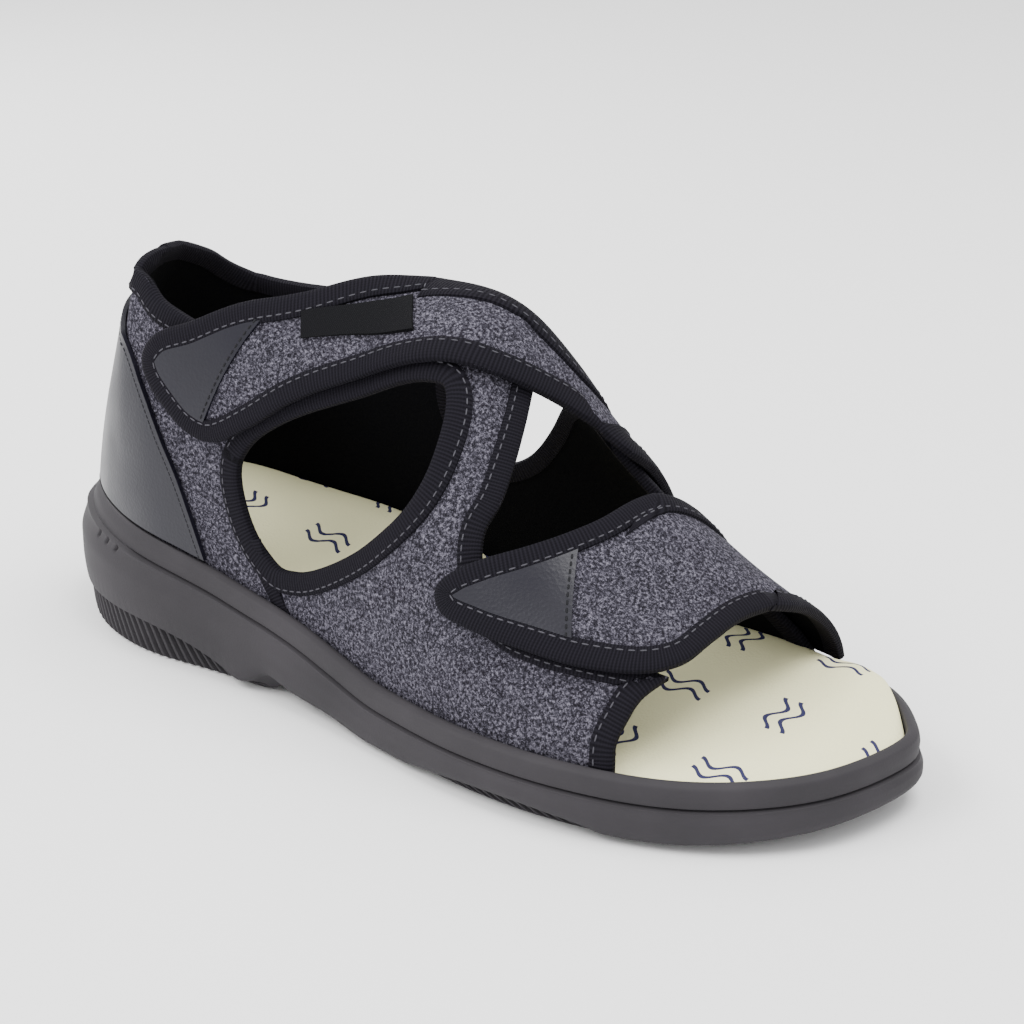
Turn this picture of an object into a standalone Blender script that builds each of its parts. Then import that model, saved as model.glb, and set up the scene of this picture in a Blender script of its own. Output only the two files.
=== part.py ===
"""Open comfort shoe for the right foot: a moulded wedge outsole, a domed insole, a cloth upper with
windows, a leather heel counter and two straps that cross the instep and the toes.

Metres. The toe points to +X, the inner (big toe) side is +Y, and the shoe stands on z = 0.
Every piece of the upper is cut from one function, the last: a station along the length and a
share of the girth, from the seat at the sole (0) up to the ridge over the foot (1).
"""

import math
from collections import namedtuple

import bmesh
import bpy
import numpy as np
from mathutils import Vector
from mathutils.geometry import delaunay_2d_cdt

for old in list(bpy.data.objects):
    bpy.data.objects.remove(old, do_unlink=True)

# Driving sizes
LENGTH = 0.268
BALL_WIDTH = 0.100
HEEL_HEIGHT = 0.0427
INSTEP_HEIGHT = 0.112
HEEL_LEAN = 0.0158
HEEL_CURL = 0.30
COLLAR_RISE = 0.062
HEEL_CENTRE = 0.041

# Walls, steps and clearances
WALL = 0.0022
BINDING_STEP = 0.0005
BINDING_WIDTH = 0.0060
CLEARANCE = 0.0003
LAP_CLEARANCE = 0.0008
PATCH_CLEARANCE = 0.0005
HEEL_CLEARANCE = 0.0006
COUNTER_THICKNESS = 0.0012
STRAP_THICKNESS = 0.0025
TAB_THICKNESS = 0.0008
LABEL_THICKNESS = 0.0005
RIM_WIDTH = 0.0030
RIM_ROUND = 0.0006
RIM_SHOULDER = 0.0010
RECESS_DEPTH = 0.0070
SEAT_DROP = 0.0015
INSOLE_THICKNESS = 0.0040
TOE_OPEN_START = 0.852
TOE_OPEN_END = 0.893
INNER_RISE = 0.0035
INNER_RISE_START = 0.17
INNER_RISE_RAMP = 0.10
BAND_HEIGHT = 0.0066
BAND_CROWN = 0.0006
GROOVE_WIDTH = 0.0014
GROOVE_DEPTH = 0.0011
WALL_BULGE = 0.0016
HEEL_BULGE = 0.0047
HEEL_LIP = 0.0018
HEEL_FLARE = 0.0045
HEEL_ZONE = 0.30
TREAD_INSET = 0.0027
TREAD_ROUND = 0.0015
PANEL_LEDGE = 0.0006
WALL_LOW = 0.38
WALL_HIGH = 0.72
RIB_DEPTH = 0.0009
RIB_LEAN = 0.0035
HEEL_RIBS = 17
HEEL_RIBS_END = 0.330
TOE_RIBS_START = 0.517
TOE_RIBS_END = 0.844
TOE_RIBS = 14
RIB_FADE = 0.1
SLITS = 3
SLIT_DEPTH = 0.0008
SLIT_START = 0.0428
SLIT_PITCH = 0.0052

# Lifts of the layers above the last
UPPER_OUTSIDE = WALL
OVER_WALL = WALL + HEEL_CLEARANCE
OVER_UPPER = WALL + BINDING_STEP + LAP_CLEARANCE
STRAP_OUTSIDE = OVER_UPPER + STRAP_THICKNESS
OVER_STRAP = STRAP_OUTSIDE + PATCH_CLEARANCE
SEAT_INSET = RIM_WIDTH + CLEARANCE + WALL
WALL_BELOW_SEAT = 0.100
RIM_GIRTH = 0.045
SEAT_BOTTOM = -(RECESS_DEPTH - SEAT_DROP - 2 * CLEARANCE) / WALL_BELOW_SEAT

# Half widths of the sole's rim, as shares of the ball width, at shares of the length
Outline = namedtuple("Outline", "at outer inner")
SOLE_OUTLINE = (
    Outline(0.037, 0.145, 0.145),
    Outline(0.067, 0.230, 0.230),
    Outline(0.112, 0.308, 0.305),
    Outline(0.179, 0.364, 0.354),
    Outline(0.295, 0.368, 0.367),
    Outline(0.416, 0.392, 0.361),
    Outline(0.537, 0.452, 0.392),
    Outline(0.637, 0.500, 0.440),
    Outline(0.738, 0.502, 0.470),
    Outline(0.839, 0.442, 0.447),
    Outline(0.919, 0.322, 0.370),
    Outline(0.972, 0.148, 0.232),
)
TOE_TIP_SHARE = 0.120

# Heights along the sole, as shares of the heel height: the rim, the ground line below the edge of
# the tread, and the ribbed panel of the side above that line
SoleLevel = namedtuple("SoleLevel", "at rim ground panel")
SOLE_LEVELS = (
    SoleLevel(0.017, 0.960, 0.040, 0.130),
    SoleLevel(0.060, 0.950, 0.000, 0.160),
    SoleLevel(0.164, 0.880, 0.000, 0.235),
    SoleLevel(0.295, 0.735, 0.000, 0.115),
    SoleLevel(0.330, 0.690, 0.025, 0.030),
    SoleLevel(0.364, 0.650, 0.130, 0.010),
    SoleLevel(0.396, 0.607, 0.080, 0.010),
    SoleLevel(0.456, 0.515, 0.045, 0.010),
    SoleLevel(0.517, 0.437, 0.000, 0.010),
    SoleLevel(0.597, 0.420, 0.000, 0.080),
    SoleLevel(0.697, 0.419, 0.000, 0.118),
    SoleLevel(0.768, 0.419, 0.000, 0.090),
    SoleLevel(0.844, 0.420, 0.000, 0.012),
    SoleLevel(0.924, 0.440, 0.040, 0.012),
    SoleLevel(1.000, 0.466, 0.110, 0.012),
)

# Rows across the insole, from its middle band out to its side: how far in from its edge, how far
# below its top, and the share of the dome
InsoleRow = namedtuple("InsoleRow", "inset below dome")
INSOLE_ROWS = (
    InsoleRow(0.0130, 0.0, 0.0010),
    InsoleRow(0.0060, 0.0, 0.0006),
    InsoleRow(0.0012, 0.0, 0.0),
    InsoleRow(0.0, 0.0012, 0.0),
)

# The last: crown height as a share of the instep height, the ridge's offset towards the inner side
# as a share of the ball width, and how full the section is on each side (2 is an ellipse)
Section = namedtuple("Section", "at crown ridge outer inner")
LAST_SECTIONS = (
    Section(0.000, 1.270, 0.00, 2.1, 2.1),
    Section(0.143, 1.250, 0.00, 2.1, 2.1),
    Section(0.244, 1.210, 0.01, 2.1, 2.1),
    Section(0.345, 1.080, 0.02, 2.1, 2.1),
    Section(0.446, 0.975, 0.04, 2.1, 2.0),
    Section(0.547, 0.928, 0.05, 2.1, 1.9),
    Section(0.617, 0.755, 0.07, 2.0, 1.7),
    Section(0.697, 0.575, 0.07, 1.9, 1.65),
    Section(0.798, 0.415, 0.08, 1.9, 1.5),
    Section(0.919, 0.280, 0.10, 2.0, 1.6),
)

# Outlines of the pieces. Each run is a smooth curve through spots of (station, girth), and runs
# meet at corners. On pieces that wrap the heel the station is negative on the outer side and the
# girth runs from the seat to the ridge. On pieces that cross the foot the girth is counted from
# the ridge, negative on the outer side, so that -1 and 1 are the two seats.
BRANCH_REAR, BRANCH_FRONT = 0.466, 0.578
VAMP_TOE, INNER_VAMP_TOE = 0.798, 0.826

INNER_VAMP_FRONT = (
    (INNER_VAMP_TOE, SEAT_BOTTOM), (0.824, 0.10), (0.807, 0.27), (0.775, 0.44), (0.735, 0.59),
    (0.697, 0.70), (0.669, 0.77), (0.642, 0.815),
)
INNER_WINDOW_FRONT = (
    (0.642, 0.815), (0.619, 0.79), (0.590, 0.67), (0.563, 0.54), (0.540, 0.42), (0.515, 0.33),
    (0.493, 0.285), (0.458, 0.25), (0.428, 0.27), (0.412, 0.34), (0.420, 0.44), (0.459, 0.565),
    (0.507, 0.70), (0.545, 0.84), (0.569, 0.94), (BRANCH_FRONT, 1.0),
)
INNER_COLLAR = (
    (BRANCH_REAR, 1.0), (0.448, 0.86), (0.407, 0.69), (0.347, 0.55), (0.291, 0.455), (0.230, 0.398),
    (0.181, 0.378), (0.138, 0.380), (0.097, 0.395), (0.048, 0.432), (0.000, 0.466),
)
OUTER_COLLAR = (
    (0.000, 0.466), (-0.048, 0.484), (-0.100, 0.486), (-0.145, 0.480), (-0.176, 0.468),
    (-0.192, 0.442), (-0.215, 0.432), (-0.245, 0.428), (-0.280, 0.435), (-0.321, 0.49),
    (-0.366, 0.585), (-0.407, 0.69), (-0.446, 0.85), (-BRANCH_REAR, 1.0),
)
BRANCH_TO_VAMP = (
    (-BRANCH_FRONT, 1.0), (-0.591, 0.90), (-0.600, 0.83), (-0.607, 0.77), (-0.616, 0.67),
    (-0.621, 0.575), (-0.619, 0.46), (-0.637, 0.375), (-0.667, 0.350), (-0.708, 0.38),
    (-0.754, 0.435), (-0.789, 0.48), (-0.814, 0.50),
)
VAMP_TOE_EDGE = (
    (-0.814, 0.50), (-0.809, 0.45), (-0.802, 0.37), (-0.799, 0.265), (-0.796, 0.15),
    (-0.798, 0.05), (-VAMP_TOE, SEAT_BOTTOM),
)
OUTER_WINDOW_REAR = ((-0.311, 0.220), (-0.311, 0.190), (-0.319, 0.145), (-0.336, 0.10), (-0.368, 0.068))
OUTER_WINDOW_FRONT = (
    (-0.368, 0.068), (-0.405, 0.098), (-0.462, 0.186), (-0.501, 0.26), (-0.535, 0.348), (-0.550, 0.43),
    (-0.554, 0.518), (-0.549, 0.625), (-0.539, 0.675),
)
OUTER_WINDOW_TOP = (
    (-0.539, 0.675), (-0.494, 0.62), (-0.420, 0.473), (-0.359, 0.348), (-0.327, 0.275), (-0.311, 0.220),
)

COUNTER_FOOT = 0.013
COUNTER_EDGE = (
    (-0.270, COUNTER_FOOT), (-0.250, 0.079), (-0.234, 0.129), (-0.213, 0.181), (-0.187, 0.253),
    (-0.154, 0.330), (-0.107, 0.368), (-0.048, 0.370), (0.000, 0.364), (0.048, 0.357),
    (0.107, 0.330), (0.154, 0.290), (0.187, 0.240), (0.213, 0.181), (0.234, 0.129), (0.250, 0.079),
    (0.270, COUNTER_FOOT),
)

STRAP_FOOT = 0.925
ANKLE_STRAP_EDGE = (
    (0.571, STRAP_FOOT), (0.575, 0.70), (0.586, 0.50), (0.589, 0.35), (0.582, 0.22), (0.557, 0.145),
    (0.515, 0.085), (0.466, 0.02), (0.423, -0.10), (0.367, -0.303), (0.311, -0.432), (0.248, -0.566),
    (0.204, -0.628), (0.190, -0.680), (0.198, -0.715), (0.220, -0.747), (0.249, -0.772),
    (0.285, -0.764), (0.338, -0.673), (0.382, -0.570), (0.424, -0.477), (0.476, -0.370),
    (0.523, -0.296), (0.558, -0.236), (0.581, -0.170), (0.610, -0.078), (0.640, 0.0),
    (0.659, 0.07), (0.667, 0.15), (0.669, 0.25), (0.671, 0.40), (0.677, 0.70), (0.681, STRAP_FOOT),
)
TOE_STRAP_EDGE = (
    (0.711, STRAP_FOOT), (0.711, 0.70), (0.713, 0.45), (0.710, 0.25), (0.703, 0.07), (0.697, -0.072),
    (0.690, -0.236), (0.674, -0.368), (0.653, -0.477), (0.628, -0.575), (0.604, -0.665),
    (0.595, -0.718), (0.603, -0.745), (0.642, -0.725), (0.691, -0.680), (0.747, -0.630),
    (0.793, -0.554), (0.818, -0.450), (0.826, -0.30), (0.830, -0.15), (0.840, 0.02), (0.846, 0.15),
    (0.848, 0.30), (0.849, 0.51), (0.850, 0.75), (0.849, STRAP_FOOT),
)
# Across the straps' tips, the front ends of the leather tabs. Along the ankle strap's rear edge,
# the ends of the label, and its depth.
ANKLE_TAB_FRONT = ((0.338, -0.40), (0.279, -0.72))
TOE_TAB_FRONT = ((0.688, -0.33), (0.740, -0.64))
LABEL_ENDS = (0.366, 0.460)
LABEL_DEPTH = 0.0075

# Spacing of points: along the edges of cloth pieces, over their faces, and round the insole
EDGE_SPACING = 0.0056
FACE_SPACING = 0.0086
HEEL_SPACING = 0.0055
EDGE_FINER = 4
INSOLE_COLUMNS = 42
WAIST_COLUMNS = 9
TOE_COLUMNS = 11
CURVE_STEPS = 24


def through(rows, column, share):
    """The value of one column of a table at a share of the length, on a smooth curve without overshoot."""
    knots = np.array([row.at for row in rows])
    values = np.array([getattr(row, column) for row in rows])
    gaps = np.diff(knots)
    rates = np.diff(values) / gaps
    slopes = np.zeros(len(knots))
    blended = (rates[:-1] * gaps[1:] + rates[1:] * gaps[:-1]) / (gaps[:-1] + gaps[1:])
    steepest = 3 * np.minimum(np.abs(rates[:-1]), np.abs(rates[1:]))
    slopes[1:-1] = np.where(rates[:-1] * rates[1:] > 0, np.clip(blended, -steepest, steepest), 0.0)
    slopes[0] = rates[0]
    slopes[-1] = rates[-1]
    share = np.clip(np.asarray(share, float), knots[0], knots[-1])
    i = np.clip(np.searchsorted(knots, share, side="right") - 1, 0, len(knots) - 2)
    t = (share - knots[i]) / gaps[i]
    start = (2 * t**3 - 3 * t**2 + 1) * values[i] + (t**3 - 2 * t**2 + t) * gaps[i] * slopes[i]
    end = (3 * t**2 - 2 * t**3) * values[i + 1] + (t**3 - t**2) * gaps[i] * slopes[i + 1]
    return start + end


def curve_piece(a, b, c, d, steps):
    """Points of the centripetal Catmull-Rom curve from b up to, not including, c."""
    tb = math.sqrt(np.linalg.norm(b - a))
    tc = tb + math.sqrt(np.linalg.norm(c - b))
    td = tc + math.sqrt(np.linalg.norm(d - c))
    t = np.linspace(tb, tc, steps, endpoint=False)[:, None]
    ab = a + (b - a) * t / tb
    bc = b + (c - b) * (t - tb) / (tc - tb)
    cd = c + (d - c) * (t - tc) / (td - tc)
    abc = ab + (bc - ab) * t / tc
    bcd = bc + (cd - bc) * (t - tb) / (td - tb)
    return abc + (bcd - abc) * (t - tb) / (tc - tb)


def closed_curve(points):
    count = len(points)
    pieces = [
        curve_piece(*(points[(i + k) % count] for k in (-1, 0, 1, 2)), CURVE_STEPS)
        for i in range(count)
    ]
    return np.vstack(pieces)


def open_curve(points, spacing):
    """Evenly spaced points on a smooth curve through the given ones, both ends included."""
    points = np.asarray(points, float)
    if len(points) > 2:
        ends = (2 * points[0] - points[1], 2 * points[-1] - points[-2])
        padded = np.vstack([ends[:1], points, ends[1:]])
        pieces = [curve_piece(*padded[i : i + 4], CURVE_STEPS) for i in range(len(points) - 1)]
        points = np.vstack(pieces + [points[-1:]])
    reach = np.concatenate([[0.0], np.cumsum(np.linalg.norm(np.diff(points, axis=0), axis=1))])
    count = max(2, round(reach[-1] / spacing) + 1)
    at = np.linspace(0.0, reach[-1], count)
    return np.column_stack([np.interp(at, reach, points[:, k]) for k in (0, 1)])


def rim_ring():
    """The sole's rim from above, from the heel along the outer side to the toe and back."""
    outer = [(row.at * LENGTH, -row.outer * BALL_WIDTH) for row in SOLE_OUTLINE]
    inner = [(row.at * LENGTH, row.inner * BALL_WIDTH) for row in reversed(SOLE_OUTLINE)]
    heel = (HEEL_BULGE, 0.0)
    toe = (LENGTH - WALL_BULGE, TOE_TIP_SHARE * BALL_WIDTH)
    return closed_curve(np.array([heel, *outer, toe, *inner]))


def moved_in(ring, inset):
    """A ring that runs anticlockwise from above, moved inward along its own normals."""
    ahead = np.roll(ring, -1, axis=0) - np.roll(ring, 1, axis=0)
    ahead /= np.linalg.norm(ahead, axis=1, keepdims=True)
    return ring + inset * np.column_stack([-ahead[:, 1], ahead[:, 0]])


RING = rim_ring()
SEAT_RING = moved_in(RING, SEAT_INSET)
TOE_INDEX = (len(SOLE_OUTLINE) + 1) * CURVE_STEPS


def eased(share):
    share = np.clip(share, 0, 1)
    return share**2 * (3 - 2 * share)


def side_edge(side, ring=RING):
    """One half of a ring, from the heel to the toe, on the outer side (-1) or the inner side (1)."""
    if side < 0:
        return ring[: TOE_INDEX + 1]
    return np.vstack([ring[TOE_INDEX:], ring[:1]])[::-1]


def sole_level(column, x):
    return HEEL_HEIGHT * through(SOLE_LEVELS, column, np.asarray(x) / LENGTH)


def seat_reach(side, station):
    """From the middle of the heel, or from the centre line, out to the seat, in the station's plane."""
    edge = side_edge(side, SEAT_RING)
    turn = np.arctan2(HEEL_CENTRE - edge[:, 0], np.abs(edge[:, 1]))
    wanted = math.pi / 2 * np.clip((HEEL_CENTRE - station) / HEEL_CENTRE, 0, 1)
    round_heel = np.interp(-wanted, -turn, np.hypot(edge[:, 0] - HEEL_CENTRE, edge[:, 1]))
    beside = np.abs(np.interp(station, edge[:, 0], edge[:, 1]))
    return np.where(station < HEEL_CENTRE, round_heel, beside)


def last_point(side, station, girth):
    """A point of the last, on the outer side (-1) or the inner side (1)."""
    turn = np.clip((HEEL_CENTRE - station) / HEEL_CENTRE, 0, 1) * math.pi / 2
    share = station / LENGTH
    ridge = BALL_WIDTH * through(LAST_SECTIONS, "ridge", share)
    reach = seat_reach(side, station) - side * ridge
    fullness = through(LAST_SECTIONS, "outer" if side < 0 else "inner", share)
    crown = INSTEP_HEIGHT * through(LAST_SECTIONS, "crown", share)
    foot_x = np.where(station < HEEL_CENTRE, HEEL_CENTRE - reach * np.sin(turn), station)
    seat = sole_level("rim", foot_x) - SEAT_DROP
    angle = np.clip(girth, 0, 1) * math.pi / 2
    out = reach * np.cos(angle) ** (2 / fullness)
    rise = (crown - seat) * np.sin(angle) ** (2 / fullness)
    high = rise / COLLAR_RISE
    lean = HEEL_LEAN * high * (1 - HEEL_CURL + HEEL_CURL * high)
    depth = np.maximum(1 - lean / np.maximum(out, lean + WALL), WALL)
    height = seat + rise + np.minimum(girth, 0) * WALL_BELOW_SEAT
    x = np.where(station < HEEL_CENTRE, HEEL_CENTRE - depth * out * np.sin(turn), station)
    return np.stack([x, side * out * np.cos(turn) + ridge, height], axis=-1)


def side_normal(side, station, girth):
    step = 1e-3
    high = np.minimum(girth + step, 1 - step / 10)
    up = last_point(side, station, high) - last_point(side, station, high - 2 * step)
    ahead = station + step / 10
    behind = np.maximum(station - step / 10, 0.0)
    along = last_point(side, ahead, girth) - last_point(side, behind, girth)
    normal = -side * np.cross(along, up)
    return normal / np.linalg.norm(normal, axis=-1, keepdims=True)


def last_frame(side, station, girth):
    """Points and outward normals for arrays of side, station (metres) and girth."""
    point = np.where((side < 0)[:, None], last_point(-1, station, girth), last_point(1, station, girth))
    outer = side_normal(-1, station, girth)
    inner = side_normal(1, station, girth)
    both = outer + inner
    both /= np.linalg.norm(both, axis=-1, keepdims=True)
    on_ridge = (girth > 1 - 1e-6)[:, None]
    normal = np.where(on_ridge, both, np.where((side < 0)[:, None], outer, inner))
    return point, normal


def wrapping(chart):
    """Chart metres of a piece round the heel to side, station and girth."""
    side = np.where(chart[:, 0] < 0, -1, 1)
    return side, np.abs(chart[:, 0]), chart[:, 1] / INSTEP_HEIGHT


def crossing(chart):
    """Chart metres of a piece across the foot to side, station and girth."""
    side = np.where(chart[:, 1] < 0, -1, 1)
    return side, chart[:, 0], 1 - np.abs(chart[:, 1]) / INSTEP_HEIGHT


def chart_run(spots, spacing):
    return open_curve([(at * LENGTH, girth * INSTEP_HEIGHT) for at, girth in spots], spacing)


def inside(points, loops):
    """Which points lie inside the first loop and outside the others, counted by crossings."""
    found = np.zeros(len(points), bool)
    for loop in loops:
        a = loop
        b = np.roll(loop, -1, axis=0)
        y = points[:, 1][:, None]
        spans = (a[:, 1] <= y) != (b[:, 1] <= y)
        drop = np.where(b[:, 1] == a[:, 1], 1.0, b[:, 1] - a[:, 1])
        cut = a[:, 0] + (y - a[:, 1]) / drop * (b[:, 0] - a[:, 0])
        found ^= (spans & (points[:, 0][:, None] < cut)).sum(axis=1) % 2 == 1
    return found


def on_last(mapping, chart):
    return last_frame(*mapping(chart))[0]


def distance_to(mapping, chart, edge_points):
    """Least distance over the last from chart points to the points of an edge."""
    return np.linalg.norm(on_last(mapping, chart)[:, None] - edge_points, axis=2).min(axis=1)


def across(mapping, run):
    """For a run of chart points, the chart step to its left that is one metre long on the last."""
    step = 1e-4
    ahead = np.gradient(run, axis=0)
    ahead /= np.linalg.norm(ahead, axis=1, keepdims=True)
    left = np.column_stack([-ahead[:, 1], ahead[:, 0]])
    slopes = [
        (on_last(mapping, run + shift) - on_last(mapping, run - shift)) / (2 * step)
        for shift in (np.array((step, 0.0)), np.array((0.0, step)))
    ]
    metric = np.array([[(a * b).sum(axis=1) for a in slopes] for b in slopes]).transpose(2, 0, 1)
    square = np.linalg.solve(metric, left[..., None])[..., 0]
    return square / np.sqrt((left * square).sum(axis=1))[:, None]


def face_points(loops, clear):
    """A staggered grid inside the loops, closer together round the heel, clear of the points given."""
    round_heel = np.arange(0.0, HEEL_CENTRE * 1.6, HEEL_SPACING)
    ahead = np.arange(round_heel[-1] + FACE_SPACING, LENGTH, FACE_SPACING)
    columns = np.concatenate([-ahead[::-1], -round_heel[:0:-1], round_heel, ahead])
    between = (columns[:-1] + columns[1:]) / 2
    low = loops[0][:, 1].min()
    high = loops[0][:, 1].max()
    first = math.floor(low / FACE_SPACING)
    last = math.ceil(high / FACE_SPACING)
    rows = []
    for row in range(first, last + 1):
        stations = between if row % 2 else columns
        rows.append(np.column_stack([stations, np.full(len(stations), row * FACE_SPACING)]))
    grid = np.vstack(rows)
    grid = grid[inside(grid, loops)]
    away = np.linalg.norm(grid[:, None] - clear, axis=2).min(axis=1)
    return grid[away > HEEL_SPACING * 0.7]


def triangles(points, loops):
    """Delaunay triangles between the points that lie inside the loops."""
    edges = []
    first = 0
    for loop in loops:
        count = len(loop)
        edges += [(first + k, first + (k + 1) % count) for k in range(count)]
        first += count
    found = delaunay_2d_cdt([Vector(p) for p in points], edges, [], 1, 1e-9)
    if len(found[0]) != len(points):
        raise ValueError("an outline crosses itself")
    faces = np.array(found[2])
    return faces[inside(points[faces].mean(axis=1), loops)]


def sheet_solid(name, look, mapping, loops, bottom, top, bound=(), welded=()):
    """A closed sheet cut from the last. Each loop is a list of runs of spots. The runs numbered in
    bound carry a raised binding, and the runs numbered in welded meet on the ridge."""
    outlines = []
    bound_edges = []
    open_edges = set()
    number = 0
    first = 0
    for runs in loops:
        points = []
        for spots in runs:
            run = chart_run(spots, EDGE_SPACING)
            if number in bound:
                bound_edges.append(chart_run(spots, EDGE_SPACING / EDGE_FINER))
            if number in welded:
                open_edges |= {first + len(points) + k for k in range(len(run) - 1)}
            points += list(run[:-1])
            number += 1
        outlines.append(np.array(points))
        first += len(points)
    edge = np.vstack(outlines)
    outside = edge
    if bound_edges:
        rings = binding_rings(mapping, outlines, bound_edges)
        outside = np.vstack([edge, rings])
    top_chart = np.vstack([outside, face_points(outlines, outside)])
    bottom_chart = np.vstack([edge, face_points(outlines, edge)])
    top_faces = triangles(top_chart, outlines)
    bottom_faces = triangles(bottom_chart, outlines)
    lift = np.full(len(top_chart), top)
    place = mapping(top_chart)
    if bound_edges:
        edge_points = on_last(mapping, np.vstack(bound_edges))
        raised = (distance_to(mapping, top_chart, edge_points) < BINDING_WIDTH) & (place[2] > RIM_GIRTH)
        lift[raised] += BINDING_STEP
    top_points, top_normals = last_frame(*place)
    bottom_points, bottom_normals = last_frame(*mapping(bottom_chart))
    vertices = np.vstack([top_points + lift[:, None] * top_normals, bottom_points + bottom * bottom_normals])
    base = len(top_chart)
    faces = [tuple(face) for face in top_faces] + [tuple(face[::-1] + base) for face in bottom_faces]
    first = 0
    for outline in outlines:
        count = len(outline)
        for k in range(count):
            a = first + k
            b = first + (k + 1) % count
            if a not in open_edges:
                faces.append((a, b, b + base, a + base))
        first += count
    return solid(name, look, vertices, faces)


def beside_edge(spots, width):
    """The row of a strap that runs beside its edge, this far in, and where it keeps that distance."""
    run = chart_run(spots, EDGE_SPACING / EDGE_FINER)
    row = run + width * across(crossing, run)
    return row, distance_to(crossing, row, on_last(crossing, run)) > width * 0.97


def as_spots(chart):
    return [(x / LENGTH, y / INSTEP_HEIGHT) for x, y in chart]


def tab_runs(strap_edge, front):
    """The tip of a strap inside its binding, up to a line across the strap."""
    row, clear = beside_edge(strap_edge, BINDING_WIDTH + BINDING_STEP + CLEARANCE)
    row = row[clear]
    a, b = (np.array(spot) * (LENGTH, INSTEP_HEIGHT) for spot in front)
    line = b - a
    side = line[0] * (row[:, 1] - a[1]) - line[1] * (row[:, 0] - a[0])
    tip = np.flatnonzero(side < 0)
    first, last = tip[0], tip[-1]

    def crossing_of(i, j):
        share = side[i] / (side[i] - side[j])
        return row[i] + share * (row[j] - row[i])

    corner = crossing_of(first - 1, first)
    other = crossing_of(last, last + 1)
    return (as_spots([corner, *row[first : last + 1], other]), as_spots([other, corner]))


def label_runs(strap_edge, ends):
    """A strip beside the binding on a strap's rear edge, between two stations."""
    width = BINDING_WIDTH + BINDING_STEP + CLEARANCE
    near, _ = beside_edge(strap_edge, width)
    far, _ = beside_edge(strap_edge, width + LABEL_DEPTH)
    count = len(near) // 2
    stations = near[:count, 0] / LENGTH
    kept = np.flatnonzero((stations > ends[0]) & (stations < ends[1]))
    top = near[kept]
    foot = far[kept][::-1]
    return (as_spots(top), as_spots([top[-1], foot[0]]), as_spots(foot), as_spots([foot[-1], top[0]]))


def binding_rings(mapping, outlines, bound_edges):
    """Two rows of points beside the bound edges, on either side of the step down from the binding."""
    edge_points = on_last(mapping, np.vstack(bound_edges))
    rows = []
    for width in (BINDING_WIDTH - BINDING_STEP, BINDING_WIDTH + BINDING_STEP):
        for edge in bound_edges:
            run = edge[::EDGE_FINER]
            for turn in (-1, 1):
                row = run + turn * width * across(mapping, run)
                row = row[inside(row, outlines)]
                away = distance_to(mapping, row, edge_points)
                rows.append(row[np.abs(away - width) < width * 0.05])
    return thinned(np.vstack(rows), BINDING_STEP * 1.4)


def thinned(points, least):
    kept = []
    for point in points:
        if not kept or np.linalg.norm(np.array(kept) - point, axis=1).min() > least:
            kept.append(point)
    return np.array(kept)


def solid(name, look, vertices, faces):
    mesh = bpy.data.meshes.new(name)
    build = bmesh.new()
    points = [build.verts.new(v) for v in vertices]
    for face in faces:
        build.faces.new([points[i] for i in face])
    bmesh.ops.remove_doubles(build, verts=build.verts, dist=1e-5)
    bmesh.ops.recalc_face_normals(build, faces=build.faces)
    if build.calc_volume(signed=True) < 0:
        bmesh.ops.reverse_faces(build, faces=build.faces)
    bmesh.ops.triangulate(build, faces=build.faces)
    build.to_mesh(mesh)
    build.free()
    mesh.shade_smooth()
    mesh.set_sharp_from_angle(angle=math.radians(35))
    mesh.materials.append(look)
    piece = bpy.data.objects.new(name, mesh)
    bpy.context.scene.collection.objects.link(piece)
    return piece


def look(name, colour, roughness):
    material = bpy.data.materials.new(name)
    material.use_nodes = True
    shader = material.node_tree.nodes["Principled BSDF"]
    shader.inputs["Base Color"].default_value = (*colour, 1.0)
    shader.inputs["Roughness"].default_value = roughness
    shader.inputs["Metallic"].default_value = 0.0
    return material


def edge_reach(side):
    edge = side_edge(side)
    return np.concatenate([[0.0], np.cumsum(np.linalg.norm(np.diff(edge, axis=0), axis=1))])


def reach_at(side, x):
    return float(np.interp(x, side_edge(side)[:, 0], edge_reach(side)))


def rim_spot(side, reach, out):
    """A point of the rim's outline, moved outward, for distances from the heel along one side."""
    edge = side_edge(side)
    lengths = edge_reach(side)
    step = 2e-4

    def on_edge(distance):
        mirrored = np.abs(distance)
        back = 2 * lengths[-1] - mirrored
        over = mirrored > lengths[-1]
        place = np.where(over, back, mirrored)
        other = side_edge(-side)
        far = edge_reach(-side)
        own = np.stack([np.interp(place, lengths, edge[:, k]) for k in (0, 1)], axis=-1)
        crossed = np.stack([
            np.interp(np.where(over, far[-1] - (mirrored - lengths[-1]), place), far, other[:, k])
            for k in (0, 1)
        ], axis=-1)
        return np.where(((distance < 0) | over)[..., None], crossed, own)

    ahead = on_edge(reach + step) - on_edge(reach - step)
    ahead /= np.linalg.norm(ahead, axis=-1, keepdims=True)
    outward = side * np.stack([-ahead[..., 1], ahead[..., 0]], axis=-1)
    return on_edge(reach) + outward * np.asarray(out)[..., None]


def column_reaches(side):
    """Distances from the heel of the outsole's columns along one side, and each column's rib phase."""
    heel_end, waist_end, ribs_end = HEEL_RIBS_END * LENGTH, TOE_RIBS_START * LENGTH, TOE_RIBS_END * LENGTH
    marks = [0.0, reach_at(side, heel_end), reach_at(side, waist_end), reach_at(side, ribs_end),
             edge_reach(side)[-1]]
    counts = (2 * HEEL_RIBS, WAIST_COLUMNS, 2 * TOE_RIBS, TOE_COLUMNS)
    reaches = []
    ribs = []
    for start, end, count, ribbed in zip(marks[:-1], marks[1:], counts, (1, 0, 1, 0)):
        reaches += list(np.linspace(start, end, count, endpoint=False))
        ribs += [ribbed * (1 if k % 2 else -1) for k in range(count)]
    return np.array(reaches + marks[-1:]), np.array(ribs + [0])


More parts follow.
